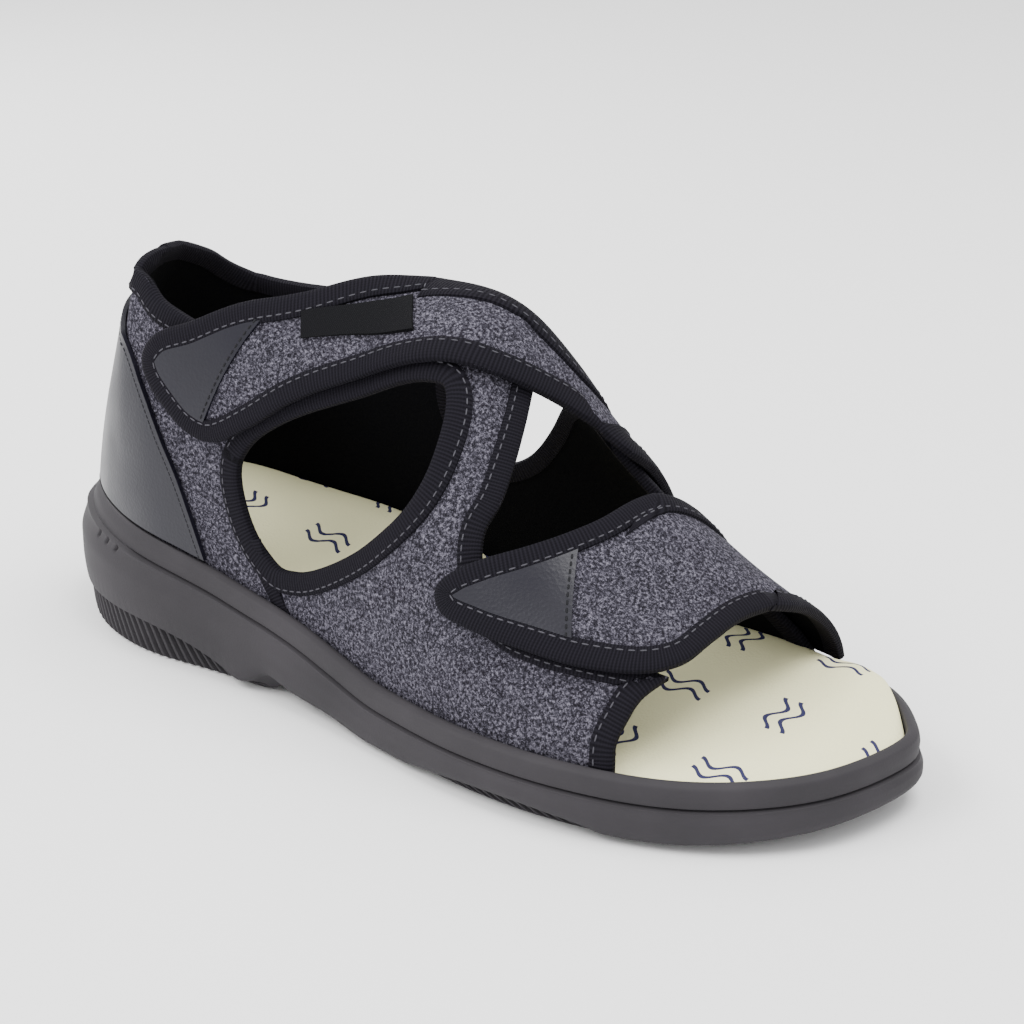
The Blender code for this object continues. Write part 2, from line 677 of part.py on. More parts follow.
def outsole_rows(side):
    """Rows of points down one side of the outsole, from the recess floor's edge to the tread's edge.
    Each row has its distance out from the rim's outline, its height and its share of the ribs' lean."""
    reach, rib = column_reaches(side)
    x = rim_spot(side, reach, np.zeros(len(reach)))[:, 0]
    rim = sole_level("rim", x)
    ground = sole_level("ground", x)
    panel = ground + np.maximum(sole_level("panel", x), TREAD_ROUND * 1.5)
    groove = rim - BAND_HEIGHT
    heel = np.clip(1 - x / (HEEL_ZONE * LENGTH), 0, 1)
    bulge = WALL_BULGE + (HEEL_BULGE - WALL_BULGE) * heel
    lip = -HEEL_LIP * heel
    slit = np.where(slit_columns(side, reach), SLIT_DEPTH, 0.0)
    tall = np.clip((panel - ground) / (RIB_FADE * HEEL_HEIGHT), 0, 1)
    ridge = RIB_DEPTH / 2 * rib * tall
    from_ends = np.minimum(x, LENGTH - x) / (RIB_FADE * LENGTH)
    lean = RIB_LEAN * np.clip(from_ends, 0, 1)
    tread = HEEL_FLARE * heel - TREAD_INSET
    under = groove - GROOVE_WIDTH / 2
    rows = [
        (-RIM_WIDTH, rim - RECESS_DEPTH, 0.0),
        (-RIM_WIDTH, rim - RIM_ROUND, 0.0),
        (-RIM_WIDTH + 2 * RIM_ROUND, rim, 0.0),
        (lip, rim - RIM_SHOULDER, 0.0),
        (lip / 2 + BAND_CROWN, rim - BAND_HEIGHT / 2, 0.0),
        (BAND_CROWN / 2, groove + GROOVE_WIDTH / 2, 0.0),
        (-GROOVE_DEPTH, groove, 0.0),
        (bulge / 2 - slit, under, 0.0),
        (bulge - slit, under + (panel - under) * WALL_LOW, 0.0),
        (bulge, under + (panel - under) * WALL_HIGH, 0.0),
        (bulge * 0.8 + tread * 0.2, panel, 0.0),
        ((bulge + tread - RIB_DEPTH) / 2 + ridge, panel - PANEL_LEDGE, 0.2),
        (tread + ridge, ground + TREAD_ROUND, 0.8),
        (tread - TREAD_ROUND, ground, 1.0),
    ]
    return [
        np.column_stack([rim_spot(side, reach + lean * part, out * np.ones(len(x))), height])
        for out, height, part in rows
    ]


def slit_columns(side, reach):
    """The columns of the short slits behind the heel, on the outer side."""
    if side > 0:
        return np.zeros(len(reach), bool)
    spots = SLIT_START + SLIT_PITCH * np.arange(SLITS)
    return np.abs(reach[:, None] - spots).min(axis=1) < SLIT_PITCH / 4


def ring_solid(name, material, outer_rows, inner_rows):
    """A closed solid from rows of points down both sides, which meet at the heel and at the toe."""
    count = len(outer_rows[0])
    total = 2 * count - 2
    vertices = np.vstack([
        np.vstack([outer, inner[-2:0:-1]]) for outer, inner in zip(outer_rows, inner_rows)
    ])
    faces = []
    for row in range(len(outer_rows) - 1):
        for k in range(total):
            a = row * total + k
            b = row * total + (k + 1) % total
            faces.append((a, b, b + total, a + total))
    for row, turned in ((0, 1), (len(outer_rows) - 1, -1)):
        base = row * total
        for k in range(1, count - 1):
            a, b = base + k, base + k + 1
            c, d = base + total - k - 1, base + total - k
            face = (a, b, c, d) if b != c else (a, b, d)
            faces.append(face[::turned])
        faces.append((base, base + 1, base + total - 1)[::turned])
    return solid(name, material, vertices, faces)


def insole_rows(side):
    """Rows down one side of the insole: middle band of the top, edge of the top, side and bottom."""
    reach = np.linspace(0.0, edge_reach(side)[-1], INSOLE_COLUMNS)
    x = rim_spot(side, reach, np.zeros(len(reach)))[:, 0]
    share = x / LENGTH
    open_toe = eased((share - TOE_OPEN_START) / (TOE_OPEN_END - TOE_OPEN_START))
    inset = RIM_WIDTH + CLEARANCE + (WALL + PATCH_CLEARANCE) * (1 - open_toe)
    floor = sole_level("rim", x) - RECESS_DEPTH + CLEARANCE
    ramp = np.minimum((share - INNER_RISE_START) / 2, 1 - share) / INNER_RISE_RAMP
    rise = INNER_RISE * eased(ramp) * (side > 0)
    top = floor + INSOLE_THICKNESS + rise
    rows = [(row.inset, top - row.below + row.dome) for row in INSOLE_ROWS]
    rows.append((0.0, floor))
    return [np.column_stack([rim_spot(side, reach, -(inset + more)), z]) for more, z in rows]


def make_shoe():
    rubber = look("sole_charcoal", (0.040, 0.038, 0.041), 0.62)
    cloth = look("melange_cloth", (0.085, 0.082, 0.095), 0.95)
    footbed = look("footbed_cloth", (0.80, 0.77, 0.63), 0.90)
    leather = look("soft_leather", (0.030, 0.030, 0.036), 0.42)
    woven = look("woven_black", (0.010, 0.010, 0.011), 0.80)

    pieces = [
        ring_solid("outsole", rubber, outsole_rows(-1), outsole_rows(1)),
        ring_solid("insole", footbed, insole_rows(-1), insole_rows(1)),
    ]
    ridge = ((BRANCH_FRONT, 1.0), (BRANCH_REAR, 1.0))
    outer_ridge = ((-BRANCH_REAR, 1.0), (-BRANCH_FRONT, 1.0))
    seat = ((-VAMP_TOE, SEAT_BOTTOM), (INNER_VAMP_TOE, SEAT_BOTTOM))
    around = (INNER_VAMP_FRONT, INNER_WINDOW_FRONT, ridge, INNER_COLLAR, OUTER_COLLAR, outer_ridge,
              BRANCH_TO_VAMP, VAMP_TOE_EDGE, seat)
    window = (OUTER_WINDOW_REAR, OUTER_WINDOW_FRONT, OUTER_WINDOW_TOP)
    bound_runs = (0, 1, 3, 4, 6, 7, 9, 10, 11)
    pieces.append(
        sheet_solid("upper", cloth, wrapping, (around, window), 0.0, UPPER_OUTSIDE, bound_runs, (2, 5))
    )
    counter_foot = (COUNTER_EDGE[-1], COUNTER_EDGE[0])
    pieces.append(
        sheet_solid("heel_counter", leather, wrapping, ((COUNTER_EDGE, counter_foot),),
                    OVER_WALL, OVER_WALL + COUNTER_THICKNESS)
    )
    for name, edge in (("ankle_strap", ANKLE_STRAP_EDGE), ("toe_strap", TOE_STRAP_EDGE)):
        foot = (edge[-1], edge[0])
        pieces.append(
            sheet_solid(name, cloth, crossing, ((edge, foot),), OVER_UPPER, STRAP_OUTSIDE, (0,))
        )
    for name, runs, material, thickness in (
        ("ankle_strap_tab", tab_runs(ANKLE_STRAP_EDGE, ANKLE_TAB_FRONT), leather, TAB_THICKNESS),
        ("toe_strap_tab", tab_runs(TOE_STRAP_EDGE, TOE_TAB_FRONT), leather, TAB_THICKNESS),
        ("label_patch", label_runs(ANKLE_STRAP_EDGE, LABEL_ENDS), woven, LABEL_THICKNESS),
    ):
        pieces.append(
            sheet_solid(name, material, crossing, (runs,), OVER_STRAP, OVER_STRAP + thickness)
        )
    return pieces


def centre_on_floor(pieces):
    """The origin goes under the middle of the shoe's box, on the floor."""
    corners = np.array([vertex.co for piece in pieces for vertex in piece.data.vertices])
    low = corners.min(axis=0)
    high = corners.max(axis=0)
    shift = Vector((-(low[0] + high[0]) / 2, -(low[1] + high[1]) / 2, -low[2]))
    for piece in pieces:
        for vertex in piece.data.vertices:
            vertex.co += shift
    return shift


SHIFT = centre_on_floor(make_shoe())
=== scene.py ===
# %% [markdown]
# This script dresses an open comfort shoe. Its plain solids are already packed as a fixed frame,
# and each step here makes one real piece of the shoe over them: the moulded outsole, the printed
# footbed, the cloth upper with its ribbed bindings, the leather heel counter, the straps and their
# tabs. Everything is in metres. The toe points to +X, the inner side of the foot is +Y, and the
# shoe stands on z = 0.

import math
from collections import namedtuple

import bmesh
import bpy
import numpy as np
from mathutils import Matrix, Vector, kdtree
from mathutils.geometry import delaunay_2d_cdt


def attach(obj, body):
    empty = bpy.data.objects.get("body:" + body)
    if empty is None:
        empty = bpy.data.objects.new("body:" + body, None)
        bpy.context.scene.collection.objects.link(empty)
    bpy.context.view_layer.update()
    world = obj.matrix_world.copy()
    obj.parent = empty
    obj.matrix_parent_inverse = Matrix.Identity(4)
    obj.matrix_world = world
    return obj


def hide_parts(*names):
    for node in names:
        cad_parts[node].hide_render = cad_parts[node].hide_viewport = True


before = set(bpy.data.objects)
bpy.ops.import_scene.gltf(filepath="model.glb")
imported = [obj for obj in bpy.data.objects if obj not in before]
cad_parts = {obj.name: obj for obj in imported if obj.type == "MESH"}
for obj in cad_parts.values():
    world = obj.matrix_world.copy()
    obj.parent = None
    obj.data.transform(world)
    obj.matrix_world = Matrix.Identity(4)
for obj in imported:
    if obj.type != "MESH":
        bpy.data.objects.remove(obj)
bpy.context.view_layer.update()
print("solids:", sorted(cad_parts))

# %% [markdown]
# The photograph looks down on the outer side of the shoe from in front of the ball of the foot. A
# long lens keeps the heel and the toe at nearly the same scale, so the camera stands about two and
# a half shoe lengths away. Its place is worked out from its angle round the shoe, its angle above
# the floor and its distance from the point it looks at.

# %% Place the camera
CAMERA_TURN = math.radians(36.69)
CAMERA_RISE = math.radians(21.64)
CAMERA_DISTANCE = 0.67215
CAMERA_LENS = 84.07
CAMERA_AIM = Vector((-0.0063, 0.0339, 0.0400))

right = Vector((math.cos(CAMERA_TURN), math.sin(CAMERA_TURN), 0.0))
level = Vector((-math.sin(CAMERA_TURN), math.cos(CAMERA_TURN), 0.0))
forward = level * math.cos(CAMERA_RISE) - Vector((0, 0, math.sin(CAMERA_RISE)))
upward = right.cross(forward)
camera_data = bpy.data.cameras.new("camera")
camera_data.lens = CAMERA_LENS
camera_data.sensor_width = 36.0
camera_data.clip_start = 0.01
camera = bpy.data.objects.new("camera", camera_data)
turn = Matrix((right, upward, -forward)).transposed().to_4x4()
camera.matrix_world = Matrix.Translation(CAMERA_AIM - forward * CAMERA_DISTANCE) @ turn
bpy.context.scene.collection.objects.link(camera)
bpy.context.scene.camera = camera
print("camera stands at", tuple(round(c, 3) for c in camera.matrix_world.translation))

# %% [markdown]
# A shoe on a pale table under soft boxes: one broad light above and in front of the outer side,
# a weaker one behind the heel for the rim of the leather, and a bright even surround. Area lights
# are used because a large soft source gives the long, faint highlights that the leather and the
# moulded sole show.

# %% Light the shoe and lay the floor
BOX_ASPECT = 0.7
MIDDLE = (0, 0, 0.04)
COUNTER_MIDDLE = (-0.08, 0, 0.06)


def soft_box(name, place, aim, size, power):
    data = bpy.data.lights.new(name, "AREA")
    data.shape = "RECTANGLE"
    data.size = size
    data.size_y = size * BOX_ASPECT
    data.energy = power
    lamp = bpy.data.objects.new(name, data)
    direction = Vector(aim) - Vector(place)
    lamp.location = place
    lamp.rotation_mode = "QUATERNION"
    lamp.rotation_quaternion = direction.to_track_quat("-Z", "Y")
    bpy.context.scene.collection.objects.link(lamp)


soft_box("key_box", (-0.55, -0.75, 1.05), MIDDLE, 0.9, 16.0)
soft_box("top_box", (0.35, 0.10, 1.10), MIDDLE, 0.8, 12.0)
soft_box("heel_box", (-0.95, 0.25, 0.55), COUNTER_MIDDLE, 0.6, 5.0)

world = bpy.data.worlds.new("even_surround")
world.use_nodes = True
surround = world.node_tree.nodes["Background"]
surround.inputs["Color"].default_value = (1.0, 1.0, 1.0, 1.0)
surround.inputs["Strength"].default_value = 1.4
bpy.context.scene.world = world

FLOOR_HALF = 4.0
floor_mesh = bpy.data.meshes.new("floor")
corners = [(x * FLOOR_HALF, y * FLOOR_HALF, 0) for x, y in ((-1, -1), (1, -1), (1, 1), (-1, 1))]
floor_mesh.from_pydata(corners, [], [(0, 1, 2, 3)])
floor = bpy.data.objects.new("floor", floor_mesh)
bpy.context.scene.collection.objects.link(floor)
floor_look = bpy.data.materials.new("pale_floor")
floor_look.use_nodes = True
floor_shader = floor_look.node_tree.nodes["Principled BSDF"]
floor_shader.inputs["Base Color"].default_value = (0.95, 0.95, 0.95, 1.0)
floor_shader.inputs["Roughness"].default_value = 0.9
floor_mesh.materials.append(floor_look)

# %% [markdown]
# A shoemaker stretches every piece of an upper over one wooden last. Here the last is a function
# too: a side, a station along the foot and a girth from the seat at the sole (0) to the ridge over
# the foot (1) give a point and the direction out of the foot. Because all the pieces come from it,
# they lie on each other like real layers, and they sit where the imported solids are.

# %% Sizes of the last and of the layers over it
LENGTH = 0.268
BALL_WIDTH = 0.100
HEEL_HEIGHT = 0.0427
INSTEP_HEIGHT = 0.112
HEEL_LEAN = 0.0158
HEEL_CURL = 0.30
COLLAR_RISE = 0.062
HEEL_CENTRE = 0.041
WALL = 0.0022
CLEARANCE = 0.0003
RIM_WIDTH = 0.0030
SEAT_DROP = 0.0015
SEAT_INSET = RIM_WIDTH + CLEARANCE + WALL
WALL_BELOW_SEAT = 0.100
SEAT_BOTTOM = -0.049
HEEL_BULGE = 0.0047
WALL_BULGE = 0.0016
TOE_TIP_SHARE = 0.120
RIDGE_START = 0.94
CURVE_STEPS = 24
SHIFT = np.array((-0.134084, 0.001885, 0.0))

Outline = namedtuple("Outline", "at outer inner")
SOLE_OUTLINE = (
    Outline(0.037, 0.145, 0.145),
    Outline(0.067, 0.230, 0.230),
    Outline(0.112, 0.308, 0.305),
    Outline(0.179, 0.364, 0.354),
    Outline(0.295, 0.368, 0.367),
    Outline(0.416, 0.392, 0.361),
    Outline(0.537, 0.452, 0.392),
    Outline(0.637, 0.500, 0.440),
    Outline(0.738, 0.502, 0.470),
    Outline(0.839, 0.442, 0.447),
    Outline(0.919, 0.322, 0.370),
    Outline(0.972, 0.148, 0.232),
)
SoleLevel = namedtuple("SoleLevel", "at rim ground panel")
SOLE_LEVELS = (
    SoleLevel(0.017, 0.960, 0.040, 0.215),
    SoleLevel(0.060, 0.950, 0.000, 0.270),
    SoleLevel(0.164, 0.880, 0.000, 0.280),
    SoleLevel(0.295, 0.735, 0.000, 0.120),
    SoleLevel(0.330, 0.690, 0.025, 0.030),
    SoleLevel(0.364, 0.650, 0.130, 0.010),
    SoleLevel(0.396, 0.607, 0.080, 0.010),
    SoleLevel(0.456, 0.515, 0.045, 0.010),
    SoleLevel(0.517, 0.437, 0.000, 0.010),
    SoleLevel(0.597, 0.420, 0.000, 0.080),
    SoleLevel(0.697, 0.419, 0.000, 0.118),
    SoleLevel(0.768, 0.419, 0.000, 0.090),
    SoleLevel(0.844, 0.420, 0.000, 0.012),
    SoleLevel(0.924, 0.440, 0.040, 0.012),
    SoleLevel(1.000, 0.466, 0.110, 0.012),
)
Section = namedtuple("Section", "at crown ridge outer inner")
LAST_SECTIONS = (
    Section(0.000, 1.270, 0.00, 2.1, 2.1),
    Section(0.143, 1.250, 0.00, 2.1, 2.1),
    Section(0.244, 1.210, 0.01, 2.1, 2.1),
    Section(0.345, 1.080, 0.02, 2.1, 2.1),
    Section(0.446, 0.975, 0.04, 2.1, 2.0),
    Section(0.547, 0.928, 0.05, 2.1, 1.9),
    Section(0.617, 0.755, 0.07, 2.0, 1.7),
    Section(0.697, 0.575, 0.07, 1.9, 1.65),
    Section(0.798, 0.415, 0.08, 1.9, 1.5),
    Section(0.919, 0.280, 0.10, 2.0, 1.6),
)
print("stations in the last's table:", len(LAST_SECTIONS))


# %% Smooth values and smooth curves
def through(rows, column, share):
    """One column of a table at a share of the length, on a smooth curve without overshoot."""
    knots = np.array([row.at for row in rows])
    values = np.array([getattr(row, column) for row in rows])
    gaps = np.diff(knots)
    rates = np.diff(values) / gaps
    slopes = np.zeros(len(knots))
    blended = (rates[:-1] * gaps[1:] + rates[1:] * gaps[:-1]) / (gaps[:-1] + gaps[1:])
    steepest = 3 * np.minimum(np.abs(rates[:-1]), np.abs(rates[1:]))
    slopes[1:-1] = np.where(rates[:-1] * rates[1:] > 0, np.clip(blended, -steepest, steepest), 0.0)
    slopes[0] = rates[0]
    slopes[-1] = rates[-1]
    share = np.clip(np.asarray(share, float), knots[0], knots[-1])
    i = np.clip(np.searchsorted(knots, share, side="right") - 1, 0, len(knots) - 2)
    t = (share - knots[i]) / gaps[i]
    start = (2 * t**3 - 3 * t**2 + 1) * values[i] + (t**3 - 2 * t**2 + t) * gaps[i] * slopes[i]
    end = (3 * t**2 - 2 * t**3) * values[i + 1] + (t**3 - t**2) * gaps[i] * slopes[i + 1]
    return start + end


def eased(share):
    share = np.clip(share, 0, 1)
    return share**2 * (3 - 2 * share)


def unit(vectors):
    return vectors / np.linalg.norm(vectors, axis=-1, keepdims=True)


def lengths_along(points):
    """The distance from the first point to each point, along the line."""
    return np.concatenate([[0.0], np.cumsum(np.linalg.norm(np.diff(points, axis=0), axis=1))])


def at_lengths(wanted, lengths, line):
    """Points of a flat line at wanted lengths."""
    return np.column_stack([np.interp(wanted, lengths, line[:, k]) for k in (0, 1)])


def curve_piece(a, b, c, d, steps):
    """Points of the centripetal Catmull-Rom curve from b up to, not including, c."""
    tb = math.sqrt(np.linalg.norm(b - a))
    tc = tb + math.sqrt(np.linalg.norm(c - b))
    td = tc + math.sqrt(np.linalg.norm(d - c))
    t = np.linspace(tb, tc, steps, endpoint=False)[:, None]
    ab = a + (b - a) * t / tb
    bc = b + (c - b) * (t - tb) / (tc - tb)
    cd = c + (d - c) * (t - tc) / (td - tc)
    abc = ab + (bc - ab) * t / tc
    bcd = bc + (cd - bc) * (t - tb) / (td - tb)
    return abc + (bcd - abc) * (t - tb) / (tc - tb)


def closed_curve(points):
    count = len(points)
    pieces = [
        curve_piece(*(points[(i + k) % count] for k in (-1, 0, 1, 2)), CURVE_STEPS)
        for i in range(count)
    ]
    return np.vstack(pieces)


def spaced(points, spacing):
    """The same line with evenly spaced points, both ends included."""
    reach = lengths_along(points)
    count = max(2, round(reach[-1] / spacing) + 1)
    return at_lengths(np.linspace(0.0, reach[-1], count), reach, points)


def open_curve(points, spacing):
    points = np.asarray(points, float)
    if len(points) > 2:
        ends = (2 * points[0] - points[1], 2 * points[-1] - points[-2])
        padded = np.vstack([ends[:1], points, ends[1:]])
        pieces = [curve_piece(*padded[i : i + 4], CURVE_STEPS) for i in range(len(points) - 1)]
        points = np.vstack(pieces + [points[-1:]])
    return spaced(points, spacing)


def rim_ring():
    """The sole's rim from above, from the heel along the outer side to the toe and back."""
    outer = [(row.at * LENGTH, -row.outer * BALL_WIDTH) for row in SOLE_OUTLINE]
    inner = [(row.at * LENGTH, row.inner * BALL_WIDTH) for row in reversed(SOLE_OUTLINE)]
    heel = (HEEL_BULGE, 0.0)
    toe = (LENGTH - WALL_BULGE, TOE_TIP_SHARE * BALL_WIDTH)
    return closed_curve(np.array([heel, *outer, toe, *inner]))


def moved_in(ring, inset):
    ahead = unit(np.roll(ring, -1, axis=0) - np.roll(ring, 1, axis=0))
    return ring + inset * np.column_stack([-ahead[:, 1], ahead[:, 0]])


RING = rim_ring()
SEAT_RING = moved_in(RING, SEAT_INSET)
TOE_INDEX = (len(SOLE_OUTLINE) + 1) * CURVE_STEPS
print("points round the sole's rim:", len(RING))


# %% The last itself
def side_edge(side, ring=RING):
    """One half of a ring, from the heel to the toe, on the outer side (-1) or the inner side (1)."""
    if side < 0:
        return ring[: TOE_INDEX + 1]
    return np.vstack([ring[TOE_INDEX:], ring[:1]])[::-1]


def sole_level(column, x):
    return HEEL_HEIGHT * through(SOLE_LEVELS, column, np.asarray(x) / LENGTH)


def seat_reach(side, station):
    edge = side_edge(side, SEAT_RING)
    angle = np.arctan2(HEEL_CENTRE - edge[:, 0], np.abs(edge[:, 1]))
    wanted = math.pi / 2 * np.clip((HEEL_CENTRE - station) / HEEL_CENTRE, 0, 1)
    round_heel = np.interp(-wanted, -angle, np.hypot(edge[:, 0] - HEEL_CENTRE, edge[:, 1]))
    beside = np.abs(np.interp(station, edge[:, 0], edge[:, 1]))
    return np.where(station < HEEL_CENTRE, round_heel, beside)


def last_point(side, station, girth):
    angle = np.clip((HEEL_CENTRE - station) / HEEL_CENTRE, 0, 1) * math.pi / 2
    share = station / LENGTH
    ridge = BALL_WIDTH * through(LAST_SECTIONS, "ridge", share)
    reach = seat_reach(side, station) - side * ridge
    fullness = through(LAST_SECTIONS, "outer" if side < 0 else "inner", share)
    crown = INSTEP_HEIGHT * through(LAST_SECTIONS, "crown", share)
    foot_x = np.where(station < HEEL_CENTRE, HEEL_CENTRE - reach * np.sin(angle), station)
    seat = sole_level("rim", foot_x) - SEAT_DROP
    lift = np.clip(girth, 0, 1) * math.pi / 2
    out = reach * np.cos(lift) ** (2 / fullness)
    rise = (crown - seat) * np.sin(lift) ** (2 / fullness)
    high = rise / COLLAR_RISE
    lean = HEEL_LEAN * high * (1 - HEEL_CURL + HEEL_CURL * high)
    depth = np.maximum(1 - lean / np.maximum(out, lean + WALL), WALL)
    height = seat + rise + np.minimum(girth, 0) * WALL_BELOW_SEAT
    x = np.where(station < HEEL_CENTRE, HEEL_CENTRE - depth * out * np.sin(angle), station)
    return np.stack([x, side * out * np.cos(angle) + ridge, height], axis=-1)


def side_normal(side, station, girth):
    step = 1e-3
    high = np.minimum(girth + step, 1 - step / 10)
    up = last_point(side, station, high) - last_point(side, station, high - 2 * step)
    ahead = station + step / 10
    behind = np.maximum(station - step / 10, 0.0)
    along = last_point(side, ahead, girth) - last_point(side, behind, girth)
    return unit(-side * np.cross(along, up))


def last_frame(side, station, girth):
    """Points and outward normals for arrays of side, station (metres) and girth."""
    on_outer = (side < 0)[:, None]
    point = np.where(on_outer, last_point(-1, station, girth), last_point(1, station, girth))
    outer = side_normal(-1, station, girth)
    inner = side_normal(1, station, girth)
    near = eased((girth - RIDGE_START) / (1 - RIDGE_START))[:, None] / 2
    own = np.where(on_outer, outer, inner)
    other = np.where(on_outer, inner, outer)
    return point, unit(own * (1 - near) + other * near)


def wrapping(chart):
    """Chart of a piece round the heel: station, negative on the outer side, and girth."""
    side = np.where(chart[:, 0] < 0, -1, 1)
    return side, np.abs(chart[:, 0]), chart[:, 1] / INSTEP_HEIGHT


def crossing(chart):
    """Chart of a piece across the foot: station, and girth counted from the ridge."""
    side = np.where(chart[:, 1] < 0, -1, 1)
    return side, chart[:, 0], 1 - np.abs(chart[:, 1]) / INSTEP_HEIGHT


def on_last(mapping, chart):
    return last_frame(*mapping(chart))[0]


def lifted(mapping, chart, lift):
    point, normal = last_frame(*mapping(chart))
    return point + np.asarray(lift).reshape(-1, 1) * normal + SHIFT


def across(mapping, run):
    """For a run of chart points, the chart step to its left that is one metre long on the last."""
    step = 1e-4
    ahead = unit(np.gradient(run, axis=0))
    left = np.column_stack([-ahead[:, 1], ahead[:, 0]])
    slopes = [
        (on_last(mapping, run + shift) - on_last(mapping, run - shift)) / (2 * step)
        for shift in (np.array((step, 0.0)), np.array((0.0, step)))
    ]
    metric = np.array([[(a * b).sum(axis=1) for a in slopes] for b in slopes]).transpose(2, 0, 1)
    square = np.linalg.solve(metric, left[..., None])[..., 0]
    return square / np.sqrt((left * square).sum(axis=1))[:, None]


def distances(points, edge_points):
    """Least distance from each point to a set of edge points."""
    tree = kdtree.KDTree(len(edge_points))
    for i, point in enumerate(edge_points):
        tree.insert(point, i)
    tree.balance()
    return np.array([tree.find(point)[2] for point in points])


heel_back = last_point(-1, np.array([0.0]), np.array([0.4]))[0] + SHIFT
print("the heel's back at the collar:", np.round(heel_back, 4))

# %% [markdown]
# The outlines of the pieces are the patterns a cutter would lay on the cloth. Each is a short
# table of spots on the last, joined by a smooth curve. On the pieces that wrap the heel the station
# is negative on the outer side. On the straps, which cross the foot, the girth counts from the
# ridge, so that -1 and 1 are the two seats.

# %% Patterns of the upper
BRANCH_REAR, BRANCH_FRONT = 0.466, 0.578
VAMP_TOE, INNER_VAMP_TOE = 0.798, 0.826
INNER_VAMP_FRONT = (
    (INNER_VAMP_TOE, SEAT_BOTTOM), (0.824, 0.10), (0.807, 0.27), (0.775, 0.44), (0.735, 0.59),
    (0.697, 0.70), (0.669, 0.77), (0.642, 0.815),
)
INNER_WINDOW_FRONT = (
    (0.642, 0.815), (0.619, 0.79), (0.590, 0.67), (0.563, 0.54), (0.540, 0.42), (0.515, 0.33),
    (0.493, 0.285), (0.458, 0.25), (0.428, 0.27), (0.412, 0.34), (0.420, 0.44), (0.459, 0.565),
    (0.507, 0.70), (0.545, 0.84), (0.569, 0.94), (BRANCH_FRONT, 1.0),
)
INNER_COLLAR = (
    (BRANCH_REAR, 1.0), (0.448, 0.86), (0.407, 0.69), (0.347, 0.55), (0.291, 0.455), (0.230, 0.398),
    (0.181, 0.378), (0.138, 0.380), (0.097, 0.395), (0.048, 0.432), (0.000, 0.466),
)
OUTER_COLLAR = (
    (0.000, 0.466), (-0.048, 0.484), (-0.100, 0.486), (-0.145, 0.480), (-0.176, 0.468),
    (-0.192, 0.442), (-0.215, 0.432), (-0.245, 0.428), (-0.280, 0.435), (-0.321, 0.49),
    (-0.366, 0.585), (-0.407, 0.69), (-0.446, 0.85), (-BRANCH_REAR, 1.0),
)
BRANCH_TO_VAMP = (
    (-BRANCH_FRONT, 1.0), (-0.591, 0.90), (-0.600, 0.83), (-0.607, 0.77), (-0.616, 0.67),
    (-0.621, 0.575), (-0.619, 0.46), (-0.637, 0.375), (-0.667, 0.350), (-0.708, 0.38),
    (-0.754, 0.435), (-0.789, 0.48), (-0.814, 0.50),
)
VAMP_TOE_EDGE = (
    (-0.814, 0.50), (-0.809, 0.45), (-0.802, 0.37), (-0.799, 0.265), (-0.796, 0.15),
    (-0.798, 0.05), (-VAMP_TOE, SEAT_BOTTOM),
)
OUTER_WINDOW_REAR = (
    (-0.311, 0.220), (-0.311, 0.190), (-0.319, 0.145), (-0.336, 0.10), (-0.368, 0.068),
)
OUTER_WINDOW_FRONT = (
    (-0.368, 0.068), (-0.405, 0.098), (-0.462, 0.186), (-0.501, 0.26), (-0.535, 0.348), (-0.550, 0.43),
    (-0.554, 0.518), (-0.549, 0.625), (-0.539, 0.675),
)
OUTER_WINDOW_TOP = (
    (-0.539, 0.675), (-0.494, 0.62), (-0.420, 0.473), (-0.359, 0.348), (-0.327, 0.275), (-0.311, 0.220),
)
QUARTER_SEAM = ((-0.336, 0.10), (-0.343, 0.069), (-0.352, 0.045), (-0.364, 0.025), (-0.380, -0.015))
COUNTER_FOOT = 0.013
COUNTER_EDGE = (
    (-0.270, COUNTER_FOOT), (-0.250, 0.079), (-0.234, 0.129), (-0.213, 0.181), (-0.187, 0.253),
    (-0.154, 0.330), (-0.107, 0.368), (-0.048, 0.370), (0.000, 0.364), (0.048, 0.357),
    (0.107, 0.330), (0.154, 0.290), (0.187, 0.240), (0.213, 0.181), (0.234, 0.129), (0.250, 0.079),
    (0.270, COUNTER_FOOT),
)
print("spots of the collar:", len(INNER_COLLAR) + len(OUTER_COLLAR))

# %% Patterns of the straps
STRAP_FOOT = 0.925
ANKLE_STRAP_EDGE = (
    (0.571, STRAP_FOOT), (0.575, 0.70), (0.586, 0.50), (0.589, 0.35), (0.582, 0.22), (0.557, 0.145),
    (0.515, 0.085), (0.466, 0.02), (0.423, -0.10), (0.367, -0.303), (0.311, -0.432), (0.248, -0.566),
    (0.204, -0.628), (0.190, -0.680), (0.198, -0.715), (0.220, -0.747), (0.249, -0.772),
    (0.285, -0.764), (0.338, -0.673), (0.382, -0.570), (0.424, -0.477), (0.476, -0.370),
    (0.523, -0.296), (0.558, -0.236), (0.581, -0.170), (0.610, -0.078), (0.640, 0.0),
    (0.659, 0.07), (0.667, 0.15), (0.669, 0.25), (0.671, 0.40), (0.677, 0.70), (0.681, STRAP_FOOT),
)
TOE_STRAP_EDGE = (
    (0.711, STRAP_FOOT), (0.711, 0.70), (0.713, 0.45), (0.710, 0.25), (0.703, 0.07), (0.697, -0.072),
    (0.690, -0.236), (0.674, -0.368), (0.653, -0.477), (0.628, -0.575), (0.604, -0.665),
    (0.595, -0.718), (0.603, -0.745), (0.642, -0.725), (0.691, -0.680), (0.747, -0.630),
    (0.793, -0.554), (0.818, -0.450), (0.826, -0.30), (0.830, -0.15), (0.840, 0.02), (0.846, 0.15),
    (0.848, 0.30), (0.849, 0.51), (0.850, 0.75), (0.849, STRAP_FOOT),
)
ANKLE_TAB_FRONT = ((0.338, -0.40), (0.279, -0.72))
